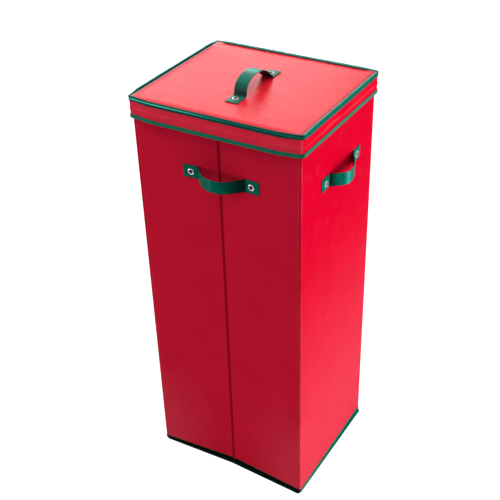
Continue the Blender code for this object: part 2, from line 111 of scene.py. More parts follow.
@dataclass(frozen=True)
class Sizes:
    """The box's sizes in metres, as its CAD solids have them."""

    width: float = 0.324
    depth: float = 0.277
    height: float = 0.800
    crease_press: float = 0.012
    cloth: float = 0.0006
    wall: float = 0.004
    gap: float = 0.0003
    wall_foot: float = 0.0036
    wall_top: float = 0.7949
    hem_tape: float = 0.0075
    rim_tape: float = 0.008
    lid_overhang: float = 0.0048
    lid_top: float = 0.7992
    front_handle: float = 0.6785
    front_shift: float = 0.0055
    side_handle: float = 0.672
    side_shift: float = 0.0065
    lid_shift: float = -0.013
    lid_aside: float = 0.004
    eyelet_away: float = 0.060

    @property
    def half_width(self) -> float:
        """Half the box's width."""
        return self.width / 2

    @property
    def half_depth(self) -> float:
        """Half the box's depth."""
        return self.depth / 2

    @property
    def inner_half_width(self) -> float:
        """Half the width between the side walls' inner faces."""
        return self.half_width - self.wall

    @property
    def half_wall(self) -> float:
        """The length of one half of a creased wall."""
        reach = math.hypot(self.inner_half_width, self.wall - self.crease_press)
        return math.sqrt(reach**2 - self.wall**2)

    @property
    def rest_fold(self) -> float:
        """The angle that each half wall is turned by at rest."""
        pressed = math.atan2(self.crease_press - self.wall, self.inner_half_width)
        return pressed + math.atan2(self.wall, self.half_wall)


SIZES = Sizes()


class Wire:
    """One value in a tree of shader nodes, which maths can be written on."""

    def __init__(self, nodes: Nodes, socket: bpy.types.NodeSocket) -> None:
        """Wrap a socket of the tree."""
        self.nodes = nodes
        self.socket = socket

    def maths(self, operation: str, *values: Wire | float) -> Wire:
        """Add a Math node that works on one or two values."""
        return self.nodes.node("Math", dict(enumerate(values)), operation=operation)

    def __add__(self, other: Wire | float) -> Wire:
        """The sum of this value and another."""
        return self.maths("ADD", self, other)

    __radd__ = __add__

    def __sub__(self, other: Wire | float) -> Wire:
        """This value less another."""
        return self.maths("SUBTRACT", self, other)

    def __rsub__(self, other: Wire | float) -> Wire:
        """Another value less this one."""
        return self.maths("SUBTRACT", other, self)

    def __mul__(self, other: Wire | float) -> Wire:
        """The product of this value and another."""
        return self.maths("MULTIPLY", self, other)

    __rmul__ = __mul__

    def __lt__(self, other: Wire | float) -> Wire:
        """One where this value is below another, else zero."""
        return self.maths("LESS_THAN", self, other)

    def __gt__(self, other: Wire | float) -> Wire:
        """One where this value is above another, else zero."""
        return self.maths("GREATER_THAN", self, other)

    def wave(self, pitch: float) -> Wire:
        """A sine of this value that repeats at a pitch in metres."""
        return self.maths("SINE", self * (2 * math.pi / pitch))

    def size(self) -> Wire:
        """This value without its sign."""
        return self.maths("ABSOLUTE", self)

    def part(self, axis: str) -> Wire:
        """One axis of this place or direction."""
        return self.nodes.node("SeparateXYZ", {0: self}, axis)

    def share(self, low: float, high: float, to_low: float = 0.0, to_high: float = 1.0) -> Wire:
        """Ease this value from one range to another, held at both ends."""
        values = dict(enumerate((self, low, high, to_low, to_high)))
        return self.nodes.node("MapRange", values, interpolation_type="SMOOTHSTEP", clamp=True)


class Nodes:
    """A tree of shader nodes."""

    def __init__(self, tree: bpy.types.NodeTree) -> None:
        """Take a tree to build in."""
        self.tree = tree

    def node(
        self,
        kind: str,
        values: dict[int | str, object] | None = None,
        result: int | str = 0,
        **settings: object,
    ) -> Wire:
        """Add a node.

        Args:
            kind: the node's Blender type, without its first word.
            values: a number, colour or wire for each socket named.
            result: the output that is wanted.
            **settings: the node's own settings, which are set before its sockets are read.

        Returns:
            The wanted output as a wire.
        """
        made = self.tree.nodes.new(f"ShaderNode{kind}")
        for setting, value in settings.items():
            setattr(made, setting, value)
        for socket, value in (values or {}).items():
            self.feed(made.inputs[socket], value)
        return Wire(self, made.outputs[result])

    def feed(self, socket: bpy.types.NodeSocket, value: object) -> None:
        """Link a wire to a socket, or set its number or colour.

        Args:
            socket: the input.
            value: the wire, number or colour.
        """
        if isinstance(value, Wire):
            self.tree.links.new(value.socket, socket)
        else:
            socket.default_value = value


class Paint(Nodes):
    """The nodes of one material, built round its Principled shader."""

    def __init__(self, name: str) -> None:
        """Start a material with a bare Principled shader.

        Args:
            name: its name.
        """
        self.material = bpy.data.materials.new(name)
        self.material.use_nodes = True
        super().__init__(self.material.node_tree)
        self.shader = self.tree.nodes["Principled BSDF"]
        self.output = self.tree.nodes["Material Output"]

    def place(self) -> Wire:
        """The point in the piece's own frame, in metres."""
        return self.node("TexCoord", result="Object")

    def facing(self) -> Wire:
        """The way that the face looks."""
        return self.node("NewGeometry", result="True Normal")

    def lay(self) -> tuple[Wire, Wire]:
        """The way along the cloth and the way across it, in metres."""
        uv = self.node("UVMap", uv_map="lay")
        return uv.part("X"), uv.part("Y")

    def mark(self, name: str) -> Wire:
        """A number written on the piece's points, such as the distance from a sewn edge."""
        return self.node("Attribute", result="Fac", attribute_name=name, attribute_type="GEOMETRY")

    def stretched(self, way: Wire, scale: Point) -> Wire:
        """A place squeezed along its axes, for a pattern that runs one way."""
        return self.node("VectorMath", {0: way, 1: scale}, operation="MULTIPLY")

    def noise(self, way: Wire, size: float, detail: float = 2.0) -> Wire:
        """Soft noise from 0 to 1 whose features are about that size in metres."""
        values = {"Vector": way, "Scale": 1 / size, "Detail": detail, "Roughness": 0.5}
        return self.node("TexNoise", values, "Fac", noise_dimensions="3D")

    def mix(self, share: Wire | float, first: Wire | Tone, second: Wire | Tone) -> Wire:
        """A colour between two colours, each a wire or shares out of 255."""
        start, end = (tone if isinstance(tone, Wire) else linear(*tone) for tone in (first, second))
        return self.node("Mix", {0: share, 6: start, 7: end}, 2, data_type="RGBA")

    def bump(self, height: Wire, distance: float, strength: float = 1.0, under: Wire | None = None) -> Wire:
        """Turn a height, of which 1 stands a distance high, into a normal, over another one if given."""
        values = {"Strength": strength, "Distance": distance, "Height": height}
        return self.node("Bump", values if under is None else {**values, "Normal": under})

    def surface(self, **values: object) -> Material:
        """Feed the shader's sockets, named with underscores for spaces.

        Args:
            values: what each socket takes.

        Returns:
            The material.
        """
        for name, value in values.items():
            self.feed(self.shader.inputs[name.replace("_", " ")], value)
        return self.material


def linear(red: int, green: int, blue: int) -> tuple[float, float, float, float]:
    """A colour out of 255 as the linear values that a shader takes.

    Args:
        red: its red part.
        green: its green part.
        blue: its blue part.

    Returns:
        The colour, opaque.
    """
    shares = [channel / 255 for channel in (red, green, blue)]
    r, g, b = (s / 12.92 if s <= 0.04045 else ((s + 0.055) / 1.055) ** 2.4 for s in shares)
    return r, g, b, 1.0


@dataclass(frozen=True)
class RedCloth:
    """Plain woven polyester in red, with painted highlights on its edges and folds, painted shade in its crease
    and hollows, and a painted pale glow near its foot.
    """

    name: str
    colour: Tone = (238, 32, 64)
    deep: Tone = (226, 25, 58)
    worn: Tone = (255, 112, 128)
    shade_tone: Tone = (136, 2, 20)
    glow_tone: Tone = (255, 92, 110)
    sewing: Tone = (250, 60, 84)
    foot_glow: float = 0.26
    foot_glow_full: float = 0.04
    foot_glow_gone: float = 0.25
    gloss: float = 0.006
    roughness: float = 0.40
    cloud: float = 0.055
    thread: float = 0.00062
    seam_line: float = 0.0042
    stitch: float = 0.0032
    stitch_width: float = 0.0003
    wrinkle: float = 0.25
    fold_shading: float = 0.22
    blotch: float = 0.0
    edge_highlight: float = 1.0

    def material(self) -> Material:
        """Build the cloth's material.

        Returns:
            The material.
        """
        paint = Paint(self.name)
        along, across = paint.lay()
        place = paint.place()
        edge, crease, raised_or_lit = (paint.mark(name) for name in ("edge", "crease", "raised_or_lit"))
        weave = along.wave(2 * self.thread) * across.wave(2 * self.thread)
        cloud = paint.noise(place, self.cloud, 3.0)
        slub = paint.noise(paint.stretched(place, (1.0, 1.0, 0.12)), 0.0022, 1.0)
        line = (edge - self.seam_line).size()
        stitches = (line < self.stitch_width) * (across.wave(self.stitch) > -0.35)
        tone = cloud.share(0.25, 0.75) * 0.55 + slub * 0.25 + weave * 0.1
        base = paint.mix(tone, self.deep, self.colour)
        # A painted pale glow near the foot, more so towards the corners.
        low = place.part("Z").share(self.foot_glow_full, self.foot_glow_gone, self.foot_glow, 0.0)
        foot_glow_mask = low * place.part("X").size().share(0.02, 0.155)
        base = paint.mix(foot_glow_mask * cloud.share(0.0, 0.6, 0.75, 1.0), base, self.glow_tone)
        # Pale slanting patches, painted in the same pale glow tone.
        if self.blotch:
            slanted = {0: along * 0.7 + across * 0.5, 1: across * 0.8 - along * 0.7}
            patches = paint.noise(paint.node("CombineXYZ", slanted), 0.026, 4.0)
            base = paint.mix(patches.share(0.5, 0.72, 0.0, self.blotch), base, self.glow_tone)
        # A painted highlight along the corners' edges, stronger higher up the wall.
        higher_up = place.part("Z").share(0.54, 0.66, 0.55, 1.0)
        pale_lit = edge.share(0.0007, 0.0013, self.edge_highlight, 0.0) * cloud.share(0.2, 0.7, 0.15, 0.6) * higher_up
        base = paint.mix(pale_lit, base, self.worn)
        # Painted highlight where the cloth stands out and beside the lid's edges, painted shade in its hollows,
        # in the crease and along the lid's right edge.
        base = paint.mix(raised_or_lit.share(0.0005, 0.0015, 0.0, self.fold_shading), base, self.worn)
        base = paint.mix(raised_or_lit.share(-0.0009, 0.0, self.fold_shading, 0.0), base, self.shade_tone)
        base = paint.mix(crease.share(0.0008, 0.0042, 0.78, 0.0), base, self.shade_tone)
        base = paint.mix(stitches * 0.3, base, self.sewing)
        height = weave * 0.5 + slub * 0.35 - line.share(0.0, 0.0012, 1.0, 0.0) * 2.2 + stitches * 1.2
        return paint.surface(
            Base_Color=base,
            Roughness=cloud.share(0.2, 0.8, self.roughness - 0.03, self.roughness + 0.04),
            Normal=paint.bump(height, 0.00007, 0.7, self.creases(paint, place, along, across)),
            Specular_IOR_Level=self.gloss,
        )

    def creases(self, paint: Paint, place: Wire, along: Wire, across: Wire) -> Wire:
        """Soft dents all over, and slanting wrinkles in patches.

        Args:
            paint: the material's nodes.
            place: the point in the piece's own frame.
            along: the way along the cloth.
            across: the way across it.

        Returns:
            The wrinkled normal.
        """
        soft = paint.bump(paint.noise(place, 0.030, 2.0), 0.0011, self.wrinkle)
        slant, steep = along * 0.97 + across * 0.24, across * 0.97 - along * 0.24
        turned = paint.node("CombineXYZ", {0: slant * 0.22, 1: steep, 2: across * 0.1})
        patch = paint.noise(place, 0.16, 1.0).share(0.42, 0.64)
        return paint.bump(paint.noise(turned, 0.013, 1.0) * patch, 0.0045, self.wrinkle, soft)


@dataclass(frozen=True)
class GreenTape:
    """Ribbed binding tape, folded over an edge and held by a row of stitches."""

    name: str
    colour: Tone = (0, 142, 115)
    deep: Tone = (0, 112, 90)
    corner_shade: Tone = (0, 52, 42)
    shadow: Tone = (0, 18, 14)
    pale_lit: Tone = (160, 235, 212)
    front_glint: Tone = (116, 255, 236)
    sewing: Tone = (60, 168, 140)
    front_shade: float = 0.0
    inner_shade: float = 0.0
    top_highlight: float = 0.0
    front_shine: float = 0.0
    gloss: float = 0.05
    roughness: float = 0.38
    rib: float = 0.0011
    stitch: float = 0.0034
    stitch_width: float = 0.00028
    line: float = 0.0028

    def material(self) -> Material:
        """Build the tape's material. Across is measured from the tape's folded edge.

        Returns:
            The material.
        """
        paint = Paint(self.name)
        along, across = paint.lay()
        place, facing = paint.place(), paint.facing()
        ribs = along.wave(self.rib)
        wear = paint.noise(place, 0.012, 3.0)
        fibre = paint.noise(place, 0.0009, 1.0)
        line = (across - self.line).size()
        stitches = (line < self.stitch_width) * (along.wave(self.stitch) > -0.4)
        tone = ribs * 0.16 + wear.share(0.3, 0.75) * 0.55 + fibre * 0.25
        base = paint.mix(tone, self.deep, self.colour)
        base = paint.mix(stitches * 0.4, base, self.sewing)
        # Painted shade near the tape's corners.
        base = paint.mix(paint.mark("edge").share(0.001, 0.010, 0.75, 0.0), base, self.corner_shade)
        if self.front_shade:
            front = facing.part("Y").size().share(0.4, 0.8)
            base = paint.mix(front * self.front_shade, base, self.shadow)
            base = paint.mix(self.shelf(place) * 0.93, base, self.shadow)
        if self.inner_shade:
            flat = paint.stretched(place, (1, 1, 0))
            outward = paint.node("VectorMath", {0: flat, 1: facing}, "Value", operation="DOT_PRODUCT")
            base = paint.mix(outward.share(-0.10, -0.04, self.inner_shade, 0.0), base, self.shadow)
        # Painted highlight on the roll's upward faces, none at the front and weaker at the back.
        if self.top_highlight:
            behind = place.part("Y").share(-0.1405, -0.1385)
            back = place.part("Y").share(0.133, 0.136, 1.0, 0.3)
            worn = facing.part("Z").share(0.72, 0.97) * behind * back * wear.share(0.2, 0.6, 0.5, 1.0)
            base = paint.mix(worn * self.top_highlight, base, self.pale_lit)
        if self.front_shine:
            base = paint.mix(self.front_line(place, facing) * self.front_shine, base, self.front_glint)
        height = ribs * 0.5 + fibre * 0.6 - line.share(0.0, 0.0009, 1.0, 0.0) * 1.6 + stitches * 1.4
        return paint.surface(
            Base_Color=base,
            Roughness=wear.share(0.2, 0.8, self.roughness - 0.05, self.roughness + 0.06),
            Normal=paint.bump(height, 0.00012, 0.8),
            Specular_IOR_Level=self.gloss,
        )

    def shelf(self, place: Wire) -> Wire:
        """Where the foot ring's top stands out in front of a creased wall, in its shadow.

        Args:
            place: the place in the box.

        Returns:
            1 there and 0 elsewhere.
        """
        low = place.part("Z").share(0.004, 0.005, 1.0, 0.0)
        out = place.part("Y").size().share(0.124, 0.125)
        return low * out * place.part("X").share(0.160, 0.161, 1.0, 0.0)

    def front_line(self, place: Wire, facing: Wire) -> Wire:
        """Where the front roll gets a painted pale highlight: a line along its middle, going out to the right.

        Args:
            place: the place in the box.
            facing: the surface's normal.

        Returns:
            How pale it is, from 0 to 1.
        """
        line = (place.part("Z") - (SIZES.height - 0.0042)).size().share(0.0006, 0.0019, 1.0, 0.0)
        front = facing.part("Y").share(-0.8, -0.4, 1.0, 0.0)
        return line * front * place.part("X").share(-0.11, 0.05, 1.0, 0.15)


@dataclass(frozen=True)
class GreenWebbing:
    """Flat strap webbing: close cross ribs between two firm selvedges."""

    name: str
    colour: Tone = (0, 132, 108)
    deep: Tone = (0, 100, 82)
    shadow: Tone = (0, 22, 20)
    shine: Tone = (66, 205, 190)
    gloss: float = 0.012
    roughness: float = 0.30
    rib: float = 0.0013
    warp: float = 0.0009
    half_width: float = 0.012

    def material(self) -> Material:
        """Build the webbing's material. Across is measured from the strap's middle line.

        Returns:
            The material.
        """
        paint = Paint(self.name)
        along, across = paint.lay()
        twill = (along + across * 0.35).wave(self.rib)
        wear = paint.noise(paint.place(), 0.009, 3.0)
        selvedge = across.size().share(self.half_width - 0.0022, self.half_width - 0.0012)
        weave = twill * 0.6 + across.wave(self.warp) * twill * 0.3
        tone = weave * 0.14 + wear.share(0.3, 0.75) * 0.5 + 0.22 - selvedge * 0.16
        base = paint.mix(tone, self.deep, self.colour)
        base = paint.mix(paint.mark("raised_or_lit").share(0.0, 0.012, 0.7, 0.0), base, self.shine)
        base = paint.mix(paint.mark("crease").share(0.001, 0.017, 0.93, 0.0), base, self.shadow)
        downward = paint.facing().part("Z").share(-0.45, -0.15, 0.9, 0.0)
        return paint.surface(
            Base_Color=paint.mix(downward, base, self.shadow),
            Roughness=wear.share(0.2, 0.8, self.roughness - 0.05, self.roughness + 0.07),
            Normal=paint.bump(weave * 0.5 + selvedge * 0.5, 0.00016, 0.8),
            Specular_IOR_Level=self.gloss,
        )


@dataclass(frozen=True)
class BrightMetal:
    """Polished nickel plate with fine handling marks, painted darker where its surface slants away, and dull
    inside its bore, where it is painted a dim purple-grey shade.
    """

    name: str = "eyelet_nickel"
    plate: Tone = (226, 226, 230)
    tarnished: Tone = (186, 180, 178)
    slant_shade: Tone = (96, 84, 92)
    inside: Tone = (150, 112, 130)

    def material(self) -> Material:
        """Build the metal's material.

        Returns:
            The material.
        """
        paint = Paint(self.name)
        marks = paint.noise(paint.place(), 0.0016, 4.0)
        tarnish = paint.noise(paint.place(), 0.006, 2.0)
        base = paint.mix(tarnish.share(0.45, 0.8), self.plate, self.tarnished)
        across, through, up = (paint.facing().part(axis) for axis in "XYZ")
        slant = ((across + up) * through.size()).size()
        # Painted shade where the surface slants away.
        base = paint.mix(slant.share(0.08, 0.32, 0.0, 0.8), base, self.slant_shade)
        # Painted shade inside the bore, a dim purple-grey.
        inner = paint.mark("edge").share(0.0007, 0.0018, 1.0, 0.0)
        return paint.surface(
            Base_Color=paint.mix(inner, base, self.inside),
            Roughness=marks.share(0.3, 0.8, 0.10, 0.24) + inner * 0.3,
            Metallic=1.0 - inner * 0.7,
            Normal=paint.bump(marks, 0.00005, 0.4),
        )


@dataclass(frozen=True)
class ChipBoard:
    """Grey-brown board pressed from recycled pulp, with flecks."""

    name: str = "pressed_board"
    dark: Tone = (146, 132, 112)
    pale: Tone = (166, 154, 134)
    flecked: Tone = (92, 80, 66)

    def material(self) -> Material:
        """Build the board's material.

        Returns:
            The material.
        """
        paint = Paint(self.name)
        fleck = paint.noise(paint.place(), 0.0012, 3.0)
        pulp = paint.noise(paint.place(), 0.02, 4.0)
        base = paint.mix(pulp.share(0.3, 0.7), self.dark, self.pale)
        return paint.surface(
            Base_Color=paint.mix(fleck.share(0.62, 0.7) * 0.6, base, self.flecked),
            Roughness=pulp.share(0.2, 0.8, 0.82, 0.94),
            Normal=paint.bump(fleck, 0.0001, 0.6),
            Specular_IOR_Level=0.2,
        )


@dataclass(frozen=True)
class Finishes:
    """Every material of the box, made once and shared."""

    front_cloth: Material
    side_cloth: Material
    lid_cloth: Material
    side_skirt: Material
    front_skirt: Material
    tape: Material
    foot_tape: Material
    lid_roll: Material
    webbing: Material
    lid_webbing: Material
    metal: Material
    board: Material

    @classmethod
    def make(cls) -> Finishes:
        """Build all the materials.

        Returns:
            The materials.
        """
        looks = dict(
            # One red cloth in several copies: the front, lid and front skirt copies are painted paler and the
            # side copies deeper, for how the light falls on each.
            front_cloth=RedCloth("red_front_cloth", foot_glow=0.3, edge_highlight=0.7),
            side_cloth=RedCloth(
                "red_side_cloth",
                colour=(238, 4, 50),
                deep=(229, 2, 44),
                gloss=0.001,
                foot_glow=0.5,
                foot_glow_gone=0.62,
                wrinkle=0.75,
                blotch=0.06,
            ),
            lid_cloth=RedCloth(
                "red_lid_cloth",
                colour=(255, 36, 56),
                deep=(250, 30, 50),
                worn=(255, 226, 232),
                gloss=0.125,
                roughness=0.28,
                wrinkle=0.02,
                fold_shading=0.7,
            ),
            side_skirt=RedCloth("red_side_skirt_cloth", colour=(248, 4, 50), deep=(240, 2, 44)),
            front_skirt=RedCloth(
                "red_front_skirt_cloth", colour=(255, 50, 80), deep=(248, 40, 70), gloss=0.055, fold_shading=0.12
            ),
            tape=GreenTape("green_edge_tape"),
            foot_tape=GreenTape("green_foot_tape", front_shade=1.0, gloss=0.01),
            lid_roll=GreenTape(
                "green_rolled_tape",
                colour=(0, 130, 116),
                deep=(0, 106, 94),
                line=0.0058,
                gloss=0.001,
                roughness=0.25,
                front_shade=0.5,
                inner_shade=0.3,
                top_highlight=0.6,
                front_shine=0.8,
            ),
            webbing=GreenWebbing("green_strap_webbing"),
            lid_webbing=GreenWebbing("green_lid_webbing", gloss=0.14, roughness=0.34),
            metal=BrightMetal(),
            board=ChipBoard(),
        )
        return cls(**{use: look.material() for use, look in looks.items()})


class Kind(Enum):
    """What an edit-mode selection picks."""

    EDGE = "EDGE"
    FACE = "FACE"


class Axis(Enum):
    """A direction of the frame that a piece is modelled in."""

    X = 0
    Y = 1
    Z = 2


def choose(*objects: Object) -> None:
    """Select objects and nothing else, and work on the first one.

    Args:
        objects: the objects, or none.
    """
    bpy.ops.object.select_all(action="DESELECT")
    for obj in objects:
        obj.select_set(True)
    if objects:
        bpy.context.view_layer.objects.active = objects[0]


@contextmanager
def edit_mode(obj: Object) -> Iterator[None]:
    """Work on one object in edit mode, with nothing selected at the start.

    Args:
        obj: the object.

    Yields:
        Nothing, with the object in edit mode.
    """
    choose(obj)
    bpy.ops.object.mode_set(mode="EDIT")
    bpy.ops.mesh.select_all(action="DESELECT")
    yield
    bpy.ops.object.mode_set(mode="OBJECT")


def pick(obj: Object, kind: Kind, test: Test) -> int:
    """Select edges or faces in edit mode, and nothing else.

    Args:
        obj: the object in edit mode.
        kind: edges or faces.
        test: takes a face's middle and normal, or an edge's middle and direction with its length.

    Returns:
        How many were selected.
    """
    bpy.ops.mesh.select_all(action="DESELECT")
    bpy.ops.mesh.select_mode(type=kind.value)
    mesh = bmesh.from_edit_mesh(obj.data)
    if kind is Kind.FACE:
        chosen = [face for face in mesh.faces if test(face.calc_center_median(), face.normal)]
    else:
        ends = ((edge, *(vertex.co for vertex in edge.verts)) for edge in mesh.edges)
        chosen = [edge for edge, start, end in ends if test((start + end) / 2, end - start)]
    for item in chosen:
        item.select_set(True)
    mesh.select_flush_mode()
    bmesh.update_edit_mesh(obj.data)
    return len(chosen)


def runs_along(axis: Axis, least: float = 0.0) -> Test:
    """A test for edges that run along an axis and are at least that long.

    Args:
        axis: the axis.
        least: the shortest length that counts.

    Returns:
        The test.
    """

    def test(_middle: Vector, way: Vector) -> bool:
        """Whether an edge is one of them."""
        return way.length > max(least, 1e-9) and abs(way[axis.value]) > 0.999 * way.length

    return test


def cut_across(obj: Object, axis: Axis, count: int, least: float) -> None:
    """Add loops across every edge that runs along an axis and is long enough."""
    if pick(obj, Kind.EDGE, runs_along(axis, least)):
        bpy.ops.mesh.subdivide(number_cuts=count)


def round_edges(radius: float, steps: int) -> None:
    """Round the selected edges."""
    bpy.ops.mesh.bevel(offset=radius, offset_type="OFFSET", segments=steps, affect="EDGES", clamp_overlap=True)


def drop_faces(obj: Object, test: Callable[[Vector], bool]) -> None:
    """Delete the faces in edit mode whose normals pass a test."""
    pick(obj, Kind.FACE, lambda _middle, normal: test(normal))
    bpy.ops.mesh.delete(type="FACE")


def open_ring(plate: Object, thickness: float) -> None:
    """Turn a plate in edit mode into a ring of a thickness, open through its top and bottom.

    Args:
        plate: the plate.
        thickness: how thick the ring's sides are.
    """
    pick(plate, Kind.FACE, lambda _middle, normal: abs(normal.z) > LEVEL)
    bpy.ops.mesh.inset(thickness=thickness)
    bpy.ops.mesh.delete(type="FACE")
    bpy.ops.mesh.select_mode(type="EDGE")
    bpy.ops.mesh.select_non_manifold()
    bpy.ops.mesh.bridge_edge_loops()


def face_outwards() -> None:
    """Turn every face in edit mode to look out of the piece."""
    bpy.ops.mesh.select_all(action="SELECT")
    bpy.ops.mesh.normals_make_consistent(inside=False)


def own_mesh(name: str) -> Object:
    """Name the object in work and move its place, turn and size into its mesh.

    Args:
        name: its name.

    Returns:
        The object.
    """
    obj = bpy.context.object
    obj.name = obj.data.name = name
    bpy.ops.object.transform_apply(location=True, rotation=True, scale=True)
    return obj


def block(name: str, low: Point, high: Point) -> Object:
    """Add a cube between two corners.

    Args:
        name: its name.
        low: its lowest corner.
        high: its highest corner.

    Returns:
        The block.
    """
    choose()
    middle = [(a + b) / 2 for a, b in zip(low, high)]
    bpy.ops.mesh.primitive_cube_add(size=1.0, location=middle, scale=[b - a for a, b in zip(low, high)])
    return own_mesh(name)


def cylinder(
    name: str,
    radius: float,
    depth: float,
    middle: Point,
    turn: Point = (0, 0, 0),
    sides: int = HOLE_SIDES,
    **ends: str,
) -> Object:
    """Add a cylinder, upright before its turn.

    Args:
        name: its name.
        radius: its radius.
        depth: its length.
        middle: its middle.
        turn: its turn about each axis.
        sides: how many sides it has.
        ends: how its ends are filled.

    Returns:
        The cylinder.
    """
    choose()
    bpy.ops.mesh.primitive_cylinder_add(
        vertices=sides, radius=radius, depth=depth, location=middle, rotation=turn, **ends
    )
    return own_mesh(name)


def finish_modifiers(obj: Object) -> None:
    """Apply every modifier of an object, in order.

    Args:
        obj: the object.
    """
    choose(obj)
    for modifier in list(obj.modifiers):
        bpy.ops.object.modifier_apply(modifier=modifier.name)


def thicken(obj: Object, thickness: float, offset: float = -1) -> None:
    """Give a sheet its thickness, on its inner side or about its middle at an offset of 0.

    Args:
        obj: the sheet.
        thickness: its thickness.
        offset: -1 for its inner side, 0 for both sides.
    """
    shell = obj.modifiers.new("thickness", "SOLIDIFY")
    shell.thickness, shell.offset, shell.use_even_offset = thickness, offset, True
    finish_modifiers(obj)


def bore(obj: Object, bit: Object) -> None:
    """Cut a bit's shape out of a piece and put the bit away.

    Args:
        obj: the piece.
        bit: the shape to cut out.
    """
    hole = obj.modifiers.new("eyelet_hole", "BOOLEAN")
    hole.operation, hole.solver, hole.object = "DIFFERENCE", "EXACT", bit
    finish_modifiers(obj)
    bpy.data.objects.remove(bit, do_unlink=True)


def points_of(obj: Object, value: str = "co") -> np.ndarray:
    """The place of each of a mesh's points, or its normal, in rows.

    Args:
        obj: the piece.
        value: co for the places, normal for the normals.

    Returns:
        One row of x, y and z for each point.
    """
    rows = np.empty(len(obj.data.vertices) * 3)
    obj.data.vertices.foreach_get(value, rows)
    return rows.reshape(-1, 3)


def move_points(obj: Object, rows: np.ndarray) -> None:
    """Put a mesh's points where the rows say."""
    obj.data.vertices.foreach_set("co", rows.ravel())
    obj.data.update()


def weigh(obj: Object, rule: PairRule) -> None:
    """Let cloth move by weights that come from each point's place and normal.

    Args:
        obj: the cloth.
        rule: gives the weights, from 0 to 1.
    """
    group = obj.vertex_groups.new(name="free_cloth")
    weights = np.clip(rule(points_of(obj), points_of(obj, "normal")), 0.0, 1.0)
    for index, weight in enumerate(weights):
        if weight > 0.001:
            group.add([index], float(weight), "REPLACE")


def ease(values: np.ndarray, start: float, end: float) -> np.ndarray:
    """Ease values from 0 at the start to 1 at the end."""
    share = np.clip((values - start) / (end - start), 0.0, 1.0)
    return share * share * (3 - 2 * share)


@dataclass(frozen=True)
class Ripple:
    """Soft waves pushed into cloth by a Displace modifier."""

    size: float
    height: float
    rise: float = 0.0
    squeeze: Point = (1.0, 1.0, 1.0)
    direction: str = "NORMAL"

    def press(self, obj: Object) -> None:
        """Push the waves into a piece that is in its place in the box, where its cloth is free.

        Args:
            obj: the piece.
        """
        waves = bpy.data.textures.new("cloth_waves", "CLOUDS")
        waves.noise_scale, waves.noise_depth = self.size, 2
        guide = bpy.data.objects.new("wave_guide", None)
        bpy.context.collection.objects.link(guide)
        guide.scale = self.squeeze
        bpy.context.view_layer.update()
        push = obj.modifiers.new("waves", "DISPLACE")
        push.texture, push.texture_coords, push.texture_coords_object = waves, "OBJECT", guide
        push.strength, push.mid_level = self.height, 0.5 - self.rise
        push.direction, push.vertex_group = self.direction, "free_cloth"
        finish_modifiers(obj)
        bpy.data.objects.remove(guide, do_unlink=True)
        bpy.data.textures.remove(waves)


@dataclass(frozen=True)
class Place:
    """A piece's own frame in the box: where it starts and which way its axes run."""

    origin: Point
    x: Point
    y: Point
    z: Point = UP

    def settle(self, obj: Object, back: bool = False) -> Object:
        """Move a mesh from its own frame into the box, or back.

        Args:
            obj: the piece.
            back: whether it goes back into its own frame.

        Returns:
            The piece.
        """
        axes = Matrix((self.x, self.y, self.z)).transposed()
        move = Matrix.Translation(self.origin) @ axes.to_4x4()
        obj.data.transform(move.inverted() if back else move)
        if axes.determinant() < 0:
            obj.data.flip_normals()
        return obj


def smooth(obj: Object, angle: float = 40.0) -> None:
    """Shade a piece smooth, but for edges sharper than an angle in degrees."""
    choose(obj)
    bpy.ops.object.shade_smooth_by_angle(angle=math.radians(angle))


def box_lay(at: np.ndarray, facing: np.ndarray) -> np.ndarray:
    """Map each face along the two axes that it faces least.

    Args:
        at: the place of each corner.
        facing: the normal of its face.

    Returns:
        The place of each corner in the map.
    """
    most = np.abs(facing).argmax(axis=1)
    pairs = at[:, [0, 2]]
    pairs[most == 0] = at[most == 0][:, [1, 2]]
    pairs[most == 2] = at[most == 2][:, [0, 1]]
    return pairs


def tape_lay(edge: float) -> PairRule:
    """A rule that maps a tape along its length and across from its folded edge's height.

    Args:
        edge: the folded edge's height.

    Returns:
        The rule.
    """

    def rule(at: np.ndarray, facing: np.ndarray) -> np.ndarray:
        """The way along and across at each corner.

        Args:
            at: the place of each corner.
            facing: the normal of its face.

        Returns:
            The place of each corner in the map.
        """
        pairs = box_lay(at, facing)
        pairs[:, 1] = np.where(np.abs(facing[:, 2]) < 0.7, np.abs(at[:, 2] - edge), 0.0)
        return pairs

    return rule


def lay_cloth(obj: Object, rule: PairRule = box_lay) -> None:
    """Write the map that the weave follows, in metres.

    Args:
        obj: the piece, still in its own frame.
        rule: turns corner points and face normals into pairs.
    """
    mesh = obj.data
    corners = np.empty(len(mesh.loops), dtype=np.int32)
    mesh.loops.foreach_get("vertex_index", corners)
    totals = np.empty(len(mesh.polygons), dtype=np.int32)
    mesh.polygons.foreach_get("loop_total", totals)
    normals = np.empty(len(mesh.polygons) * 3)
    mesh.polygons.foreach_get("normal", normals)
    pairs = rule(points_of(obj)[corners], np.repeat(normals.reshape(-1, 3), totals, axis=0))
    layer = mesh.uv_layers.get("lay") or mesh.uv_layers.new(name="lay")
    layer.data.foreach_set("uv", np.ascontiguousarray(pairs, dtype=np.float32).ravel())


def mark(obj: Object, **rules: Rule) -> None:
    """Write numbers on a piece's points for its material.

    Args:
        obj: the piece.
        **rules: edge and crease turn points into distances from the sewn edge and the crease, and
            the third rule turns them into how far they stand out from the flat cloth or, on the lid's
            cover and the straps, into where a painted highlight goes. Without its rule a point is far
            from both and flat.
    """
    points = points_of(obj)
    for name, plain in (("edge", 1.0), ("crease", 1.0), ("raised_or_lit", 0.0)):
        values = rules[name](points) if name in rules else np.full(len(points), plain)
        obj.data.attributes.new(name, "FLOAT", "POINT").data.foreach_set("value", values.astype(np.float32))


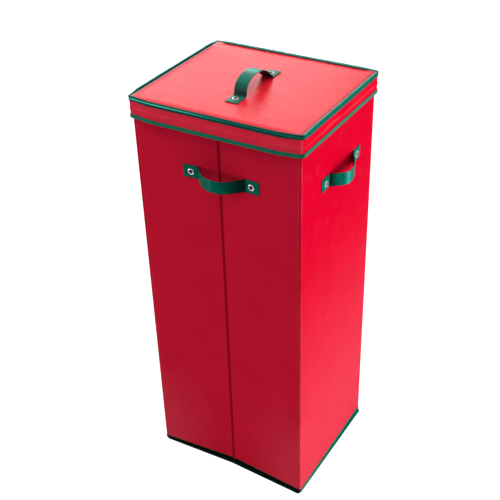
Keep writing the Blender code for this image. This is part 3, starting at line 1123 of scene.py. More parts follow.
def show(obj: Object, finish: Material, body: str | None, node: str) -> Object:
    """Dress a piece, hang it from its body and report it.

    Args:
        obj: the finished piece, in its place.
        finish: its material.
        body: the body that it rides on, or None to leave it on no body.
        node: the CAD node that it stands for.

    Returns:
        The piece.
    """
    obj.data.materials.clear()
    obj.data.materials.append(finish)
    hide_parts(node)
    if body:
        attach(obj, body)
    LOG.info("%s: %d faces, rides on %s", obj.name, len(obj.data.polygons), body or "two bodies")
    return obj


@dataclass
class Eyelet:
    """A hollow eyelet: a rolled crown, a short tube and the curl behind the wall."""

    name: str
    place: Place
    grip: float
    body: str
    node: str
    bore: float = 0.0031
    tube: float = 0.0037
    flange: float = 0.0062
    washer: float = 0.0052
    seat: float = 0.0022
    crown: float = 0.0012
    curl: float = 0.0007
    sides: int = 48
    ring_steps: int = 16

    def ring(self, outer: float, height: float, rise: float) -> Object:
        """A rolled ring round the bore.

        Args:
            outer: its outer radius.
            height: where its middle is.
            rise: half its height, which it is flattened to.

        Returns:
            The ring.
        """
        middle, reach = (self.bore + outer) / 2, (outer - self.bore) / 2
        choose()
        bpy.ops.mesh.primitive_torus_add(
            major_segments=self.sides, minor_segments=self.ring_steps, major_radius=middle, minor_radius=reach
        )
        ring = own_mesh(f"{self.name}_ring")
        ring.data.transform(Matrix.Translation((0, 0, height)) @ Matrix.Diagonal((1, 1, rise / reach, 1)))
        return ring

    def barrel(self) -> Object:
        """The tube between the two rolled rings.

        Returns:
            The tube.
        """
        length = self.seat + self.grip
        middle = (0, 0, self.seat - length / 2)
        tube = cylinder(
            f"{self.name}_tube", self.tube, length, middle, sides=self.sides, end_fill_type="NOTHING"
        )
        thicken(tube, self.tube - self.bore)
        return tube

    def build(self, finish: Finishes) -> Object:
        """Model the eyelet and set it in its place.

        Args:
            finish: the box's materials.

        Returns:
            The eyelet.
        """
        crown = self.ring(self.flange, self.seat, self.crown)
        choose(crown, self.ring(self.washer, -self.grip - SIZES.gap, self.curl), self.barrel())
        bpy.ops.object.join()
        crown.name = crown.data.name = self.name
        mark(crown, edge=lambda at: np.hypot(at[:, 0], at[:, 1]) - self.bore)
        smooth(crown, 50.0)
        self.place.settle(crown)
        return show(crown, finish.metal, self.body, self.node)


@dataclass
class Strap:
    """A webbing handle: two flat tabs and a bow that stands out from the wall between them.

    Its own frame runs along the strap, out from the wall, and across the webbing. Rises are the slopes
    in degrees at which the bow leaves its two bends.
    """

    name: str
    place: Place
    node: str
    bow: float
    rises: tuple[float, float]
    lean: float = 0.0
    shift: float = 0.0
    tilt: float = 0.0
    flare: float = 0.0
    width: float = 0.024
    thickness: float = 0.0015
    selvedge: float = 0.0005
    length: float = 0.150
    tab: float = 0.0255
    bend: float = 0.005
    lift: float = 0.0011
    fullness: float = 0.40
    shade: tuple[float, float] = (1.0, 1.0)
    shine: float = 0.5
    dull: float = 0.0
    glow: float = 1.0
    bow_steps: int = 18
    bend_steps: int = 7
    tab_steps: int = 5
    width_steps: int = 5

    def half(self, reach: float, apex: Vector, rise: float) -> list[Vector]:
        """The middle line of one half, from its tab's end to the top of the bow.

        Args:
            reach: how far the tab's end is from the frame's middle.
            apex: the top of the bow, measured towards this half's tab.
            rise: the slope in degrees at which the bow leaves its bend.

        Returns:
            The points of the line.
        """
        along = Vector((math.cos(self.tilt), math.sin(self.tilt)))
        out = Vector((-math.sin(self.tilt), math.cos(self.tilt)))
        tip = along * reach + out * self.lift
        foot = along * (reach - self.tab) + out * self.lift
        centre = foot + out * self.bend
        slope = math.radians(rise)
        turns = np.linspace(self.tilt - math.pi / 2, -math.pi / 2 - slope, self.bend_steps + 1)
        bend = [centre + self.bend * Vector((math.cos(turn), math.sin(turn))) for turn in turns]
        away = Vector((-math.cos(slope), math.sin(slope)))
        pull = self.fullness * (apex - bend[-1]).length
        knots = (bend[-1], bend[-1] + pull * away, apex + Vector((pull, 0.0)), apex)
        tab = [tip.lerp(foot, step / self.tab_steps) for step in range(self.tab_steps)]
        bow = [bezier(knots, step / self.bow_steps) for step in range(1, self.bow_steps + 1)]
        return tab + bend + bow

    def line(self) -> list[Vector]:
        """The strap's whole middle line, from one tab's end to the other's.

        Returns:
            The line's points, seen along the strap's width.
        """
        half = self.length / 2
        top = self.bow + self.lift + (half - self.tab) * math.sin(self.tilt)
        left = self.half(half - self.shift, Vector((-self.shift - self.lean, top)), self.rises[0])
        right = self.half(half + self.shift, Vector((self.shift + self.lean, top)), self.rises[1])
        return [Vector((-point.x, point.y)) for point in left] + right[-2::-1]

    def lay(self, at: np.ndarray, _facing: np.ndarray) -> np.ndarray:
        """Map the webbing along its line and across its width.

        Args:
            at: the place of each corner.
            _facing: the normal of its face.

        Returns:
            The place of each corner in the map.
        """
        path = np.array([tuple(point) for point in self.line()])
        steps = np.concatenate([[0.0], np.cumsum(np.linalg.norm(np.diff(path, axis=0), axis=1))])
        best, gone = np.full(len(at), np.inf), np.zeros(len(at))
        for index, start in enumerate(path[:-1]):
            way = path[index + 1] - start
            share = np.clip((at[:, :2] - start) @ way / (way @ way), 0, 1)
            away = np.linalg.norm(at[:, :2] - start - share[:, None] * way, axis=1)
            nearer = away < best
            best[nearer] = away[nearer]
            gone[nearer] = steps[index] + share[nearer] * np.linalg.norm(way)
        return np.stack([gone, at[:, 2]], axis=1)

    def from_bend(self, at: np.ndarray) -> np.ndarray:
        """How far points are from the strap's nearest bend, as far as the shade there goes.

        Args:
            at: the points.

        Returns:
            That distance for each point.
        """
        gone = self.lay(at, at)[:, 0]
        bend = self.tab + self.bend / 2
        away = np.stack([gone - bend, gone.max() - bend - gone])
        return np.where(away < 0, -6 * away, away / np.array(self.shade)[:, None]).min(axis=0)

    def from_shine(self, at: np.ndarray) -> np.ndarray:
        """How far points are from the line across the strap where it is brightest."""
        gone = self.lay(at, at)[:, 0]
        return np.abs(gone - self.tab - self.shine * (gone.max() - 2 * self.tab)) / self.glow + self.dull

    def sheet(self) -> Object:
        """Draw the strap's middle sheet by extruding one edge along its line.

        Returns:
            The sheet.
        """
        path = self.line()
        choose()
        bpy.ops.mesh.primitive_plane_add(size=1.0, rotation=(math.pi / 2, 0, 0))
        sheet = own_mesh(self.name)
        for vertex in sheet.data.vertices:
            point = path[1] if vertex.co.x > 0 else path[0]
            vertex.co = (point.x, point.y, math.copysign(self.width / 2, vertex.co.z))
        with edit_mode(sheet):
            across = runs_along(Axis.Z, self.width / 2)
            pick(
                sheet,
                Kind.EDGE,
                lambda middle, way: across(middle, way) and (middle.xy - path[1]).length < NEAR,
            )
            for here, there in zip(path[1:], path[2:]):
                bpy.ops.mesh.extrude_region_move(TRANSFORM_OT_translate={"value": (*(there - here), 0)})
            cut_across(sheet, Axis.Z, self.width_steps, self.width / 2)
        return sheet

    def punch(self, strap: Object, side: int) -> None:
        """Punch one eyelet hole square through a strap's tab.

        Args:
            strap: the strap.
            side: -1 or 1, for its one end or the other.
        """
        away = SIZES.eyelet_away + side * self.shift
        middle = (side * away * math.cos(self.tilt), away * math.sin(self.tilt), 0)
        bore(strap, cylinder("punch", HOLE, 2 * HOLE, middle, (math.pi / 2, 0, side * self.tilt)))

    def build(self, finish: Finishes, body: str | None) -> Object:
        """Model the strap.

        Args:
            finish: the box's materials.
            body: the body that it rides on, or None to leave it on no body.

        Returns:
            The strap.
        """
        strap = self.sheet()
        thicken(strap, self.thickness, 0)
        rounded = strap.modifiers.new("selvedge", "BEVEL")
        rounded.width, rounded.segments = self.selvedge, 2
        rounded.limit_method, rounded.angle_limit = "ANGLE", math.radians(60)
        finish_modifiers(strap)
        for side in (-1, 1):
            self.punch(strap, side)
        lay_cloth(strap, self.lay)
        mark(strap, crease=self.from_bend, raised_or_lit=self.from_shine)
        for vertex in strap.data.vertices:
            stand = max(vertex.co.y - self.bend, 0.0) / self.bow
            vertex.co.y += self.flare * stand * vertex.co.z / (self.width / 2)
        smooth(strap, 50.0)
        self.place.settle(strap)
        webbing = finish.lid_webbing if body == "lid" else finish.webbing
        return show(strap, webbing, body, self.node)


def bezier(knots: Sequence[Vector], share: float) -> Vector:
    """A point of the curve that four knots pull, from the first at 0 to the last at 1.

    Args:
        knots: the four knots.
        share: how far along the curve it is.

    Returns:
        The point.
    """
    rest = 1 - share
    weights = (rest**3, 3 * share * rest**2, 3 * share**2 * rest, share**3)
    return sum((knot * weight for knot, weight in zip(knots, weights)), Vector((0.0, 0.0)))


def clear_of(spots: Sequence[Sequence[float]], at: np.ndarray, start: float, end: float) -> np.ndarray:
    """Ease from 0 at points of a face that are nearer to a spot than start, to 1 past the end.

    Args:
        spots: the spots, in the face's plane.
        at: the points, in the same plane.
        start: the distance up to which the result is 0.
        end: the distance from which it is 1.

    Returns:
        The result for each point.
    """
    free = np.ones(len(at))
    for spot in spots:
        free = free * ease(np.hypot(at[:, 0] - spot[0], at[:, 1] - spot[1]), start, end)
    return free


@dataclass
class Wall:
    """One stiff wall of the box: its cloth sleeve and the tapes over its foot and rim.

    Its own frame runs along the wall, into the box from the wall's outer face, and up.
    """

    name: str
    body: str
    place: Place
    start: float
    end: float
    holes: tuple[tuple[float, float], ...]
    creased: bool = False
    edge_round: float = 0.0016
    crease_round: float = 0.0034
    cloth_inset: float = 0.0012
    cut_every: float = 0.009
    cuts_up: int = 90
    tape_over: float = 0.0001
    tape_proud: float = 0.0005
    tape_thickness: float = 0.00045
    tape_round: float = 0.0008
    tape_cut_every: float = 0.012
    still_ends: Span = (0.006, 0.035)
    still_rims: Span = (0.012, 0.060)
    still_tabs: Span = (0.022, 0.050)
    ripple: Ripple = Ripple(size=0.085, height=0.0022, rise=0.35)

    @property
    def length(self) -> float:
        """The wall's length."""
        return self.end - self.start

    def calm(self, points: np.ndarray, normals: np.ndarray) -> np.ndarray:
        """Let the outer face ripple, but not near its edges or under the handle's tabs.

        Args:
            points: the points, in the wall's frame.
            normals: their normals.

        Returns:
            How free each point is, from 0 to 1.
        """
        rim = np.minimum(points[:, 0] - self.start, self.end - points[:, 0])
        level = np.minimum(points[:, 2] - SIZES.wall_foot, SIZES.wall_top - points[:, 2])
        free = ease(rim, *self.still_ends) * ease(level, *self.still_rims) * (normals[:, 1] < -LEVEL)
        return free * clear_of(self.holes, points[:, [0, 2]], *self.still_tabs)

    def round_ends(self, piece: Object, least: float, proud: float) -> None:
        """Round a piece's upright edges, and a tape's outer one at the crease more widely.

        Args:
            piece: the sleeve or tape, in edit mode.
            least: the length of its upright edges, or less.
            proud: how far it stands outside the wall's faces.
        """
        upright = runs_along(Axis.Z, least)
        if self.creased:
            near, far, inner = self.start + SIZES.wall / 4, self.end - 0.001, SIZES.wall - 0.0001
            pick(piece, Kind.EDGE, lambda at, way: upright(at, way) and at.x < near and at.y < proud)
            round_edges(self.crease_round + proud, 7)
            pick(piece, Kind.EDGE, lambda at, way: upright(at, way) and (at.x > far or at.y > inner))
        else:
            pick(piece, Kind.EDGE, upright)
        round_edges(min(self.edge_round + proud / 2, SIZES.wall - self.crease_round), 5)

    def from_end(self, at: np.ndarray) -> np.ndarray:
        """How far points of the cloth are from the corners where its outer face ends."""
        away = np.hypot(at[:, 0] - self.end, at[:, 1])
        return away if self.creased else np.minimum(np.hypot(at[:, 0] - self.start, at[:, 1]), away)

    def along_tape(self, at: np.ndarray) -> np.ndarray:
        """How far points of a tape are along it from the wall's corners."""
        away = self.end - at[:, 0]
        return away if self.creased else np.minimum(away, at[:, 0] - self.start)

    def sleeve(self, finish: Finishes) -> Object:
        """The flat cloth sleeve round the wall's board.

        Args:
            finish: the box's materials.

        Returns:
            The sleeve.
        """
        low = (self.start, 0.0, SIZES.wall_foot + self.cloth_inset)
        high = (self.end, SIZES.wall, SIZES.wall_top - self.cloth_inset)
        sleeve = block(f"{self.name}_cloth", low, high)
        with edit_mode(sleeve):
            drop_faces(sleeve, lambda normal: abs(normal.z) > LEVEL)
            self.round_ends(sleeve, 0.1, 0.0)
            cut_across(sleeve, Axis.X, int(self.length / self.cut_every), 0.05)
            cut_across(sleeve, Axis.Z, self.cuts_up, 0.1)
        weigh(sleeve, self.calm)
        lay_cloth(sleeve)
        crease = {"crease": lambda at: at[:, 0] - self.start} if self.creased else {}
        mark(sleeve, edge=self.from_end, **crease)
        self.place.settle(sleeve)
        self.ripple.press(sleeve)
        thicken(sleeve, SIZES.cloth)
        self.place.settle(sleeve, back=True)
        for along, height in self.holes:
            bore(sleeve, cylinder("drill_bit", HOLE, 10 * HOLE, (along, 0.0, height), (math.pi / 2, 0.0, 0.0)))
        self.place.settle(sleeve)
        smooth(sleeve)
        cloth = finish.front_cloth if self.creased else finish.side_cloth
        show(sleeve, cloth, self.body, f"{self.name}_cover")
        flat = (2 * (self.length + SIZES.wall), high[2] - low[2])
        return sleeve

    def tape(self, finish: Material, word: str, closed: float, height: float, node: str) -> Object:
        """A tape folded over one end of the sleeve.

        Args:
            finish: the tape's material.
            word: the last part of the piece's name.
            closed: the height of the folded edge.
            height: how far the tape reaches from it, up or down.
            node: the CAD node that it stands for.

        Returns:
            The tape.
        """
        low, high = sorted((closed, closed + height))
        proud, over = self.tape_proud, self.tape_over
        start, end = (self.start - over, -proud, low), (self.end + over, SIZES.wall + proud, high)
        tape = block(f"{self.name}_{word}", start, end)
        folded = runs_along(Axis.X, 0.05)
        with edit_mode(tape):
            drop_faces(tape, lambda normal: normal.z * math.copysign(1.0, height) > LEVEL)
            self.round_ends(tape, 0.001, proud)
            pick(tape, Kind.EDGE, lambda at, way: abs(at.z - closed) < NEAR and folded(at, way))
            round_edges(self.tape_round, 3)
            cut_across(tape, Axis.X, int(self.length / self.tape_cut_every), 0.05)
        lay_cloth(tape, tape_lay(closed))
        mark(tape, edge=self.along_tape)
        thicken(tape, self.tape_thickness)
        smooth(tape, 50.0)
        self.place.settle(tape)
        return show(tape, finish, self.body, node)

    def build(self, finish: Finishes) -> None:
        """Model the wall's cloth and both its tapes.

        Args:
            finish: the box's materials.
        """
        self.sleeve(finish)
        self.tape(finish.foot_tape, "foot_tape", SIZES.wall_foot, SIZES.hem_tape, f"{self.name}_hem")
        self.tape(finish.tape, "rim_tape", SIZES.wall_top, -SIZES.rim_tape, f"{self.name}_rim")


@dataclass
class Base:
    """The bottom of the box: the cloth under it, the tape round it and the loose board in it."""

    corner: float = 0.006
    corner_steps: int = 5
    cloth_inset: float = 0.0004
    cloth_share: float = 0.97
    ring_out: float = 0.0003
    ring_foot: float = 0.0007
    ring_top: float = 0.0035
    ring_edge: float = 0.0015
    board_corner: float = 0.003
    board_round: float = 0.0007
    keep: float = 0.574
    anchor: Point = (-0.162, 0.0, 0.0)
    crease_spread: float = 0.0065
    near_spread: float = 0.0025
    side_spread: float = 0.0045

    def plan(self, name: str, inset: float, low: float, high: float) -> Object:
        """A plate in the shape of the box's plan, with both creases pressed in.

        Args:
            name: its name.
            inset: how far its edge is inside the box's outline.
            low: the height of its foot.
            high: the height of its top.

        Returns:
            The plate.
        """
        half_x, half_y = SIZES.half_width - inset, SIZES.half_depth - inset
        plate = block(name, (-half_x, -half_y, low), (half_x, half_y, high))
        upright = runs_along(Axis.Z)
        with edit_mode(plate):
            pick(plate, Kind.EDGE, upright)
            round_edges(self.corner - inset, self.corner_steps)
            cut_across(plate, Axis.X, 1, 0.1)
            for side in (-1, 1):
                crease = half_y * side
                pick(
                    plate,
                    Kind.EDGE,
                    lambda at, way: abs(at.x) < NEAR and upright(at, way) and abs(at.y - crease) < NEAR,
                )
                bpy.ops.transform.translate(value=(0, -side * SIZES.crease_press, 0))
            self.join_creases(plate)
        return plate

    def join_creases(self, plate: Object) -> None:
        """Join the two creases across a plate's top and bottom, so that its faces stay flat.

        Args:
            plate: the plate, in edit mode.
        """
        bpy.ops.mesh.select_all(action="DESELECT")
        bpy.ops.mesh.select_mode(type="VERT")
        for top in (max, min):
            mesh = bmesh.from_edit_mesh(plate.data)
            middle = [vertex for vertex in mesh.verts if abs(vertex.co.x) < NEAR]
            level = top(vertex.co.z for vertex in middle)
            for vertex in middle:
                vertex.select_set(abs(vertex.co.z - level) < NEAR)
            bmesh.update_edit_mesh(plate.data)
            bpy.ops.mesh.vert_connect()
            bpy.ops.mesh.select_all(action="DESELECT")

    def under_cloth(self, finish: Finishes) -> Object:
        """The cloth under the box.

        Args:
            finish: the box's materials.

        Returns:
            The cloth.
        """
        cloth = self.plan("base_under_cloth", self.cloth_inset, 0.0, SIZES.cloth)
        lay_cloth(cloth)
        mark(cloth, edge=lambda at: SIZES.half_width - self.cloth_inset - np.abs(at[:, 0]))
        smooth(cloth)
        show(cloth, finish.side_cloth, "base_and_left_side", "base_cloth")
        area = self.cloth_share * (SIZES.width * SIZES.depth)
        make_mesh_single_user(cloth)
        return cloth

    def ring(self, finish: Finishes) -> Object:
        """The tape round the foot of the box, under the walls.

        Args:
            finish: the box's materials.

        Returns:
            The ring.
        """
        ring = self.plan("base_edge_tape", -self.ring_out, self.ring_foot, self.ring_top)
        with edit_mode(ring):
            open_ring(ring, SIZES.wall + self.ring_out)
            face_outwards()
        lay_cloth(ring, tape_lay(self.ring_foot))
        mark(ring)
        self.spread(ring)
        smooth(ring, 50.0)
        show(ring, finish.foot_tape, "base_and_left_side", "base_binding")
        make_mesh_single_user(ring)
        return ring

    def spread(self, ring: Object) -> None:
        """Let the ring's outer edge stand out past the walls, most at the creases.

        Args:
            ring: the ring.
        """
        at = points_of(ring)
        along = np.abs(at[:, 0]) / SIZES.half_width
        line = SIZES.half_depth - SIZES.crease_press * (1 - along)
        outer_y = np.abs(at[:, 1]) > line - self.ring_edge
        outer_x = at[:, 0] > SIZES.half_width - self.ring_edge
        rear = np.clip((at[:, 1] + SIZES.half_depth) / SIZES.depth, 0, 1)
        out = self.crease_spread * np.clip(1 - along, 0, 1)
        out += self.near_spread * np.clip(at[:, 0] / SIZES.half_width, 0, 1) * (at[:, 1] < 0)
        at[:, 1] += np.sign(at[:, 1]) * out * outer_y
        at[:, 0] += self.side_spread * rear * outer_x
        move_points(ring, at)

    def board(self, finish: Finishes) -> Object:
        """The loose board that keeps the base square, wrapped in the same cloth.

        Args:
            finish: the box's materials.

        Returns:
            The board.
        """
        low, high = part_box("base_board")
        board = block("base_board_wrapped", tuple(low), tuple(high))
        with edit_mode(board):
            pick(board, Kind.EDGE, runs_along(Axis.Z))
            round_edges(self.board_corner, self.corner_steps)
            pick(board, Kind.EDGE, lambda _middle, way: abs(way.z) < 1e-7)
            round_edges(self.board_round, 3)
        lay_cloth(board)
        middle, half = (low[0] + high[0]) / 2, (high[0] - low[0]) / 2
        mark(board, edge=lambda at: half - np.abs(at[:, 0] - middle))
        smooth(board)
        return show(board, finish.side_cloth, "base_board", "base_board")

    def build(self, finish: Finishes) -> None:
        """Model the three pieces of the base.

        Args:
            finish: the box's materials.
        """
        self.under_cloth(finish)
        self.ring(finish)
        self.board(finish)


@dataclass(frozen=True)
class Roll:
    """How the rolled tape lies along one side of the lid."""

    axis: int
    side: int
    rise: float = 0.0
    spread: float = 0.0
    drop: float = 0.0


@dataclass
class Lid:
    """The lift-off lid: a cloth-covered board, a hanging skirt and the tapes at its two edges."""

    cover_round: float = 0.0014
    cover_cuts: tuple[int, int] = (70, 60)
    still_edges: Span = (0.004, 0.035)
    still_tabs: Span = (0.020, 0.045)
    bit_depth: float = 0.003
    pale_strip: float = 0.0018
    pale_strip_slope: float = 0.25
    right_shade_least: float = 0.0021
    right_shade_slope: float = 0.45
    roll_width: float = 0.0027
    roll_height: float = 0.0080
    roll_radius: float = 0.0012
    tape_round: float = 0.0006
    corner: float = 0.0026
    soft_corner: float = 0.004
    near_corner: float = 0.010
    bulge: float = 0.0032
    bulge_reach: float = 0.040
    sag: float = 0.0011
    sag_reach: Span = (0.009, 0.003)
    sag_clear: Span = (0.0012, 0.0008)
    loose_front: Span = (0.004, 0.050)
    loose_roll: Span = (0.003, 0.030)
    roll_reach: float = 0.012
    rolls: tuple[Roll, ...] = (
        Roll(0, -1, rise=0.0030),
        Roll(1, 1, rise=0.0014, spread=0.0050),
        Roll(0, 1, rise=0.0010, drop=0.0009),
        Roll(1, -1, drop=0.0006),
    )
    skirt_outer: float = 0.0037
    skirt_inner: float = 0.0024
    skirt_foot: float = 0.7608
    skirt_top: float = 0.7931
    skirt_under: float = 0.0012
    skirt_cuts: int = 13
    skirt_cuts_along: int = 110
    skirt_round: float = 0.0006
    pucker_up: Span = (-0.001, 0.008)
    pucker_along: Span = (0.008, 0.030)
    ridge: float = 0.0011
    hem_foot: float = 0.760
    hem_tape: float = 0.007
    hem_inner: float = 0.0018
    hem_thickness: float = 0.0005
    skirt_ripple: Ripple = Ripple(size=0.030, height=0.0034, squeeze=(2.0, 2.0, 0.34))
    top_ripple: Ripple = Ripple(size=0.150, height=0.0008, rise=0.20)
    roll_ripple: Ripple = Ripple(size=0.016, height=0.0007)

    def eyelet_spots(self) -> dict[str, Point]:
        """The two eyelets' places on the lid.

        Returns:
            The place of the front one and of the back one.
        """
        aside, shift, away = SIZES.lid_aside, SIZES.lid_shift, SIZES.eyelet_away
        sides = {"front": -1, "back": 1}
        return {word: (aside, shift + side * away, SIZES.lid_top) for word, side in sides.items()}

    def cover(self, finish: Finishes) -> Object:
        """The cloth over the lid's board.

        Args:
            finish: the box's materials.

        Returns:
            The cover.
        """
        edge = SIZES.lid_overhang - self.roll_width - SIZES.gap
        half_x, half_y = SIZES.half_width + edge, SIZES.half_depth + edge
        foot, top = SIZES.lid_top - SIZES.wall, SIZES.lid_top
        cover = block("lid_cloth", (-half_x, -half_y, foot), (half_x, half_y, top))
        with edit_mode(cover):
            pick(cover, Kind.EDGE, lambda _middle, way: way.length > 0.1)
            round_edges(self.cover_round, 4)
            for axis, count in zip((Axis.X, Axis.Y), self.cover_cuts):
                cut_across(cover, axis, count, 0.1)

        def calm(at: np.ndarray, normal: np.ndarray) -> np.ndarray:
            """Let the top ripple, but not at its edges or under the handle's tabs.

            Args:
                at: the points.
                normal: their normals.

            Returns:
                How free each point is, from 0 to 1.
            """
            rim = np.minimum(half_x - np.abs(at[:, 0]), half_y - np.abs(at[:, 1]))
            free = ease(rim, *self.still_edges) * (normal[:, 2] > LEVEL)
            return free * clear_of(list(self.eyelet_spots().values()), at, *self.still_tabs)

        def raised_or_lit(at: np.ndarray) -> np.ndarray:
            """A painted pale highlight strip beside the cover's left and back edges, strongest at the edge."""
            inside = np.minimum(half_x + at[:, 0], half_y - at[:, 1])
            return np.maximum(0.0, self.pale_strip - self.pale_strip_slope * inside)

        def from_right(at: np.ndarray) -> np.ndarray:
            """How far points are from the right edge, on a longer scale than the creases have, for the painted
            shade that the cloth's material puts near that edge.
            """
            return np.maximum(self.right_shade_least, self.right_shade_slope * (half_x - at[:, 0]))

        weigh(cover, calm)
        lay_cloth(cover)
        self.top_ripple.press(cover)
        thicken(cover, SIZES.cloth)
        for spot in self.eyelet_spots().values():
            bore(cover, cylinder("drill_bit", HOLE, self.bit_depth, spot))
        mark(cover, raised_or_lit=raised_or_lit, crease=from_right)
        self.drape(cover)
        smooth(cover)
        show(cover, finish.lid_cloth, "lid", "lid_cover")
        flat = (2 * (2 * half_x + SIZES.wall), 2 * half_y)
        return cover

    def drape(self, obj: Object, rolled: bool = False) -> None:
        """Round a lid piece's corners and let its front belly out and sag, as the soft cloth does.

        Args:
            obj: the piece, in its place in the box.
            rolled: whether it is the rolled tape, which stands up over the cloth.
        """
        at = points_of(obj)
        rim = np.array((SIZES.half_width, SIZES.half_depth)) + SIZES.lid_overhang
        inside = rim - np.abs(at[:, :2])
        if rolled:
            self.shape_rolls(at, rim)
        self.round_corners(at, rim)
        loose = ease(inside[:, 0], *self.loose_front)
        low, out = SIZES.lid_top - self.sag_clear[0], SIZES.half_depth + self.sag_clear[1]
        clear = (at[:, 2] > low) | (-at[:, 1] > out)
        start, end = (rim[1] - reach for reach in self.sag_reach)
        at[:, 2] -= self.sag * loose * clear * ease(-at[:, 1], start, end)
        at[:, 1] -= self.bulge * loose * ease(-at[:, 1], rim[1] - self.bulge_reach, rim[1])
        move_points(obj, at)

    def shape_rolls(self, at: np.ndarray, rim: np.ndarray) -> None:
        """Let the rolled tape lie unevenly along the sides of the lid.

        Args:
            at: the tape's points, which are changed.
            rim: half the lid's width and half its depth.
        """
        loose = ease(rim - np.abs(at[:, :2]), *self.loose_roll)
        level = np.clip((at[:, 2] - SIZES.height + self.roll_height) / self.roll_height, 0, 1)
        for roll in self.rolls:
            near = rim[roll.axis] - roll.side * at[:, roll.axis]
            on = (near < self.roll_reach) * loose[:, 1 - roll.axis]
            at[:, 2] += (roll.rise * level - roll.drop * (1 - level)) * on
            inward = np.clip(near / self.roll_width, 0, 1) * level * on
            at[:, roll.axis] -= roll.side * roll.spread * inward

    def round_corners(self, at: np.ndarray, rim: np.ndarray) -> None:
        """Round a lid piece's upright corners, the front right one more widely.

        Args:
            at: the piece's points, which are changed.
            rim: half the lid's width and half its depth.
        """
        near = (at[:, 0] > 0) & (at[:, 1] < 0)
        radius = np.where(near, self.near_corner, self.soft_corner)[:, None]
        turn = np.abs(at[:, :2]) - rim + radius
        corner = (turn > 0).all(axis=1)
        turn = turn[corner] * (turn.max(axis=1) / np.linalg.norm(turn, axis=1))[corner, None]
        at[corner, :2] = np.sign(at[corner, :2]) * (rim - radius[corner] + turn)

    def skirt(self, finish: Finishes, side: str, half: float, place: Place) -> Object:
        """One strip of the skirt.

        Args:
            finish: the box's materials.
            side: which side of the lid it hangs on.
            half: half its length.
            place: its frame, along the strip, inwards from its outer face, and up.

        Returns:
            The strip.
        """
        end = (half, self.skirt_outer - self.skirt_inner, self.skirt_top + self.skirt_under)
        strip = block(f"lid_skirt_{side}_cloth", (-half, 0.0, self.skirt_foot), end)
        with edit_mode(strip):
            pick(strip, Kind.EDGE, runs_along(Axis.Z, 0.01))
            round_edges(self.skirt_round, 3)
            cut_across(strip, Axis.X, self.skirt_cuts_along, 0.05)
            cut_across(strip, Axis.Z, self.skirt_cuts, 0.01)
            self.pinch(strip)

        def free(at: np.ndarray, _normal: np.ndarray) -> np.ndarray:
            """Let the strip pucker between its two tapes, but not at its ends."""
            level = np.minimum(at[:, 2] - self.hem_foot - self.hem_tape, self.skirt_top - at[:, 2])
            return ease(level, *self.pucker_up) * ease(half - np.abs(at[:, 0]), *self.pucker_along)

        weigh(strip, free)
        lay_cloth(strip)
        place.settle(strip)
        creased = side in ("front", "back")
        replace(self.skirt_ripple, direction="Y" if creased else "X").press(strip)
        start, along, inward = (np.array(vector) for vector in (place.origin, place.x, place.y))
        mark(
            strip,
            edge=lambda at: half - np.abs((at - start) @ along),
            raised_or_lit=lambda at: (start - at) @ inward,
        )
        self.drape(strip)
        smooth(strip)
        cloth = finish.front_skirt if creased else finish.side_skirt
        show(strip, cloth, "lid", f"lid_skirt_{side}")
        flat = (2 * half, self.skirt_top - self.skirt_foot)
        return strip

    def pinch(self, strip: Object) -> None:
        """Raise the long ridge that runs half way up a strip of the skirt.

        Args:
            strip: the strip, in edit mode.
        """
        rows = self.skirt_cuts + 1
        row = (self.skirt_top + self.skirt_under - self.skirt_foot) / rows
        for step, push in ((-1, 0.4), (0, 1.0), (1, 0.4)):
            height = self.skirt_foot + (rows // 2 + step) * row
            pick(
                strip,
                Kind.EDGE,
                lambda at, way: abs(at.z - height) < row / 4 and abs(way.z) < NEAR and at.y < 0.0001,
            )
            bpy.ops.transform.translate(value=(0, -push * self.ridge, 0))

    def ring(self, name: str, inner: float, low: float, high: float) -> Object:
        """A square ring round the lid, out to its overhang.

        Args:
            name: its name.
            inner: how far its inner face is from the box's walls.
            low: the height of its foot.
            high: the height of its top.

        Returns:
            The ring.
        """
        half_x, half_y = SIZES.half_width + SIZES.lid_overhang, SIZES.half_depth + SIZES.lid_overhang
        ring = block(name, (-half_x, -half_y, low), (half_x, half_y, high))
        upright = runs_along(Axis.Z)
        with edit_mode(ring):
            open_ring(ring, SIZES.lid_overhang - inner)
            pick(
                ring,
                Kind.EDGE,
                lambda at, way: upright(at, way) and abs(at.x) > half_x - NEAR and abs(at.y) > half_y - NEAR,
            )
            round_edges(self.corner, 5)
            face_outwards()
        return ring

    def rolled_edge(self, finish: Finishes) -> Object:
        """The tape rolled over the lid's top edge.

        Args:
            finish: the box's materials.

        Returns:
            The rolled edge.
        """
        foot = SIZES.height - self.roll_height
        ring = self.ring("lid_rolled_edge", SIZES.lid_overhang - self.roll_width, foot, SIZES.height)
        with edit_mode(ring):
            for height, radius, steps in ((SIZES.height, self.roll_radius, 6), (foot, self.tape_round, 2)):
                pick(ring, Kind.EDGE, round_loops(height))
                round_edges(radius, steps)
            cut_across(ring, Axis.X, 120, 0.2)
            cut_across(ring, Axis.Y, 104, 0.2)
        weigh(ring, lambda at, _normal: np.ones(len(at)))
        self.roll_ripple.press(ring)
        lay_cloth(ring, tape_lay(SIZES.height))
        mark(ring, edge=from_corner)
        self.drape(ring, rolled=True)
        smooth(ring, 60.0)
        return show(ring, finish.lid_roll, "lid", "lid_edge_binding")

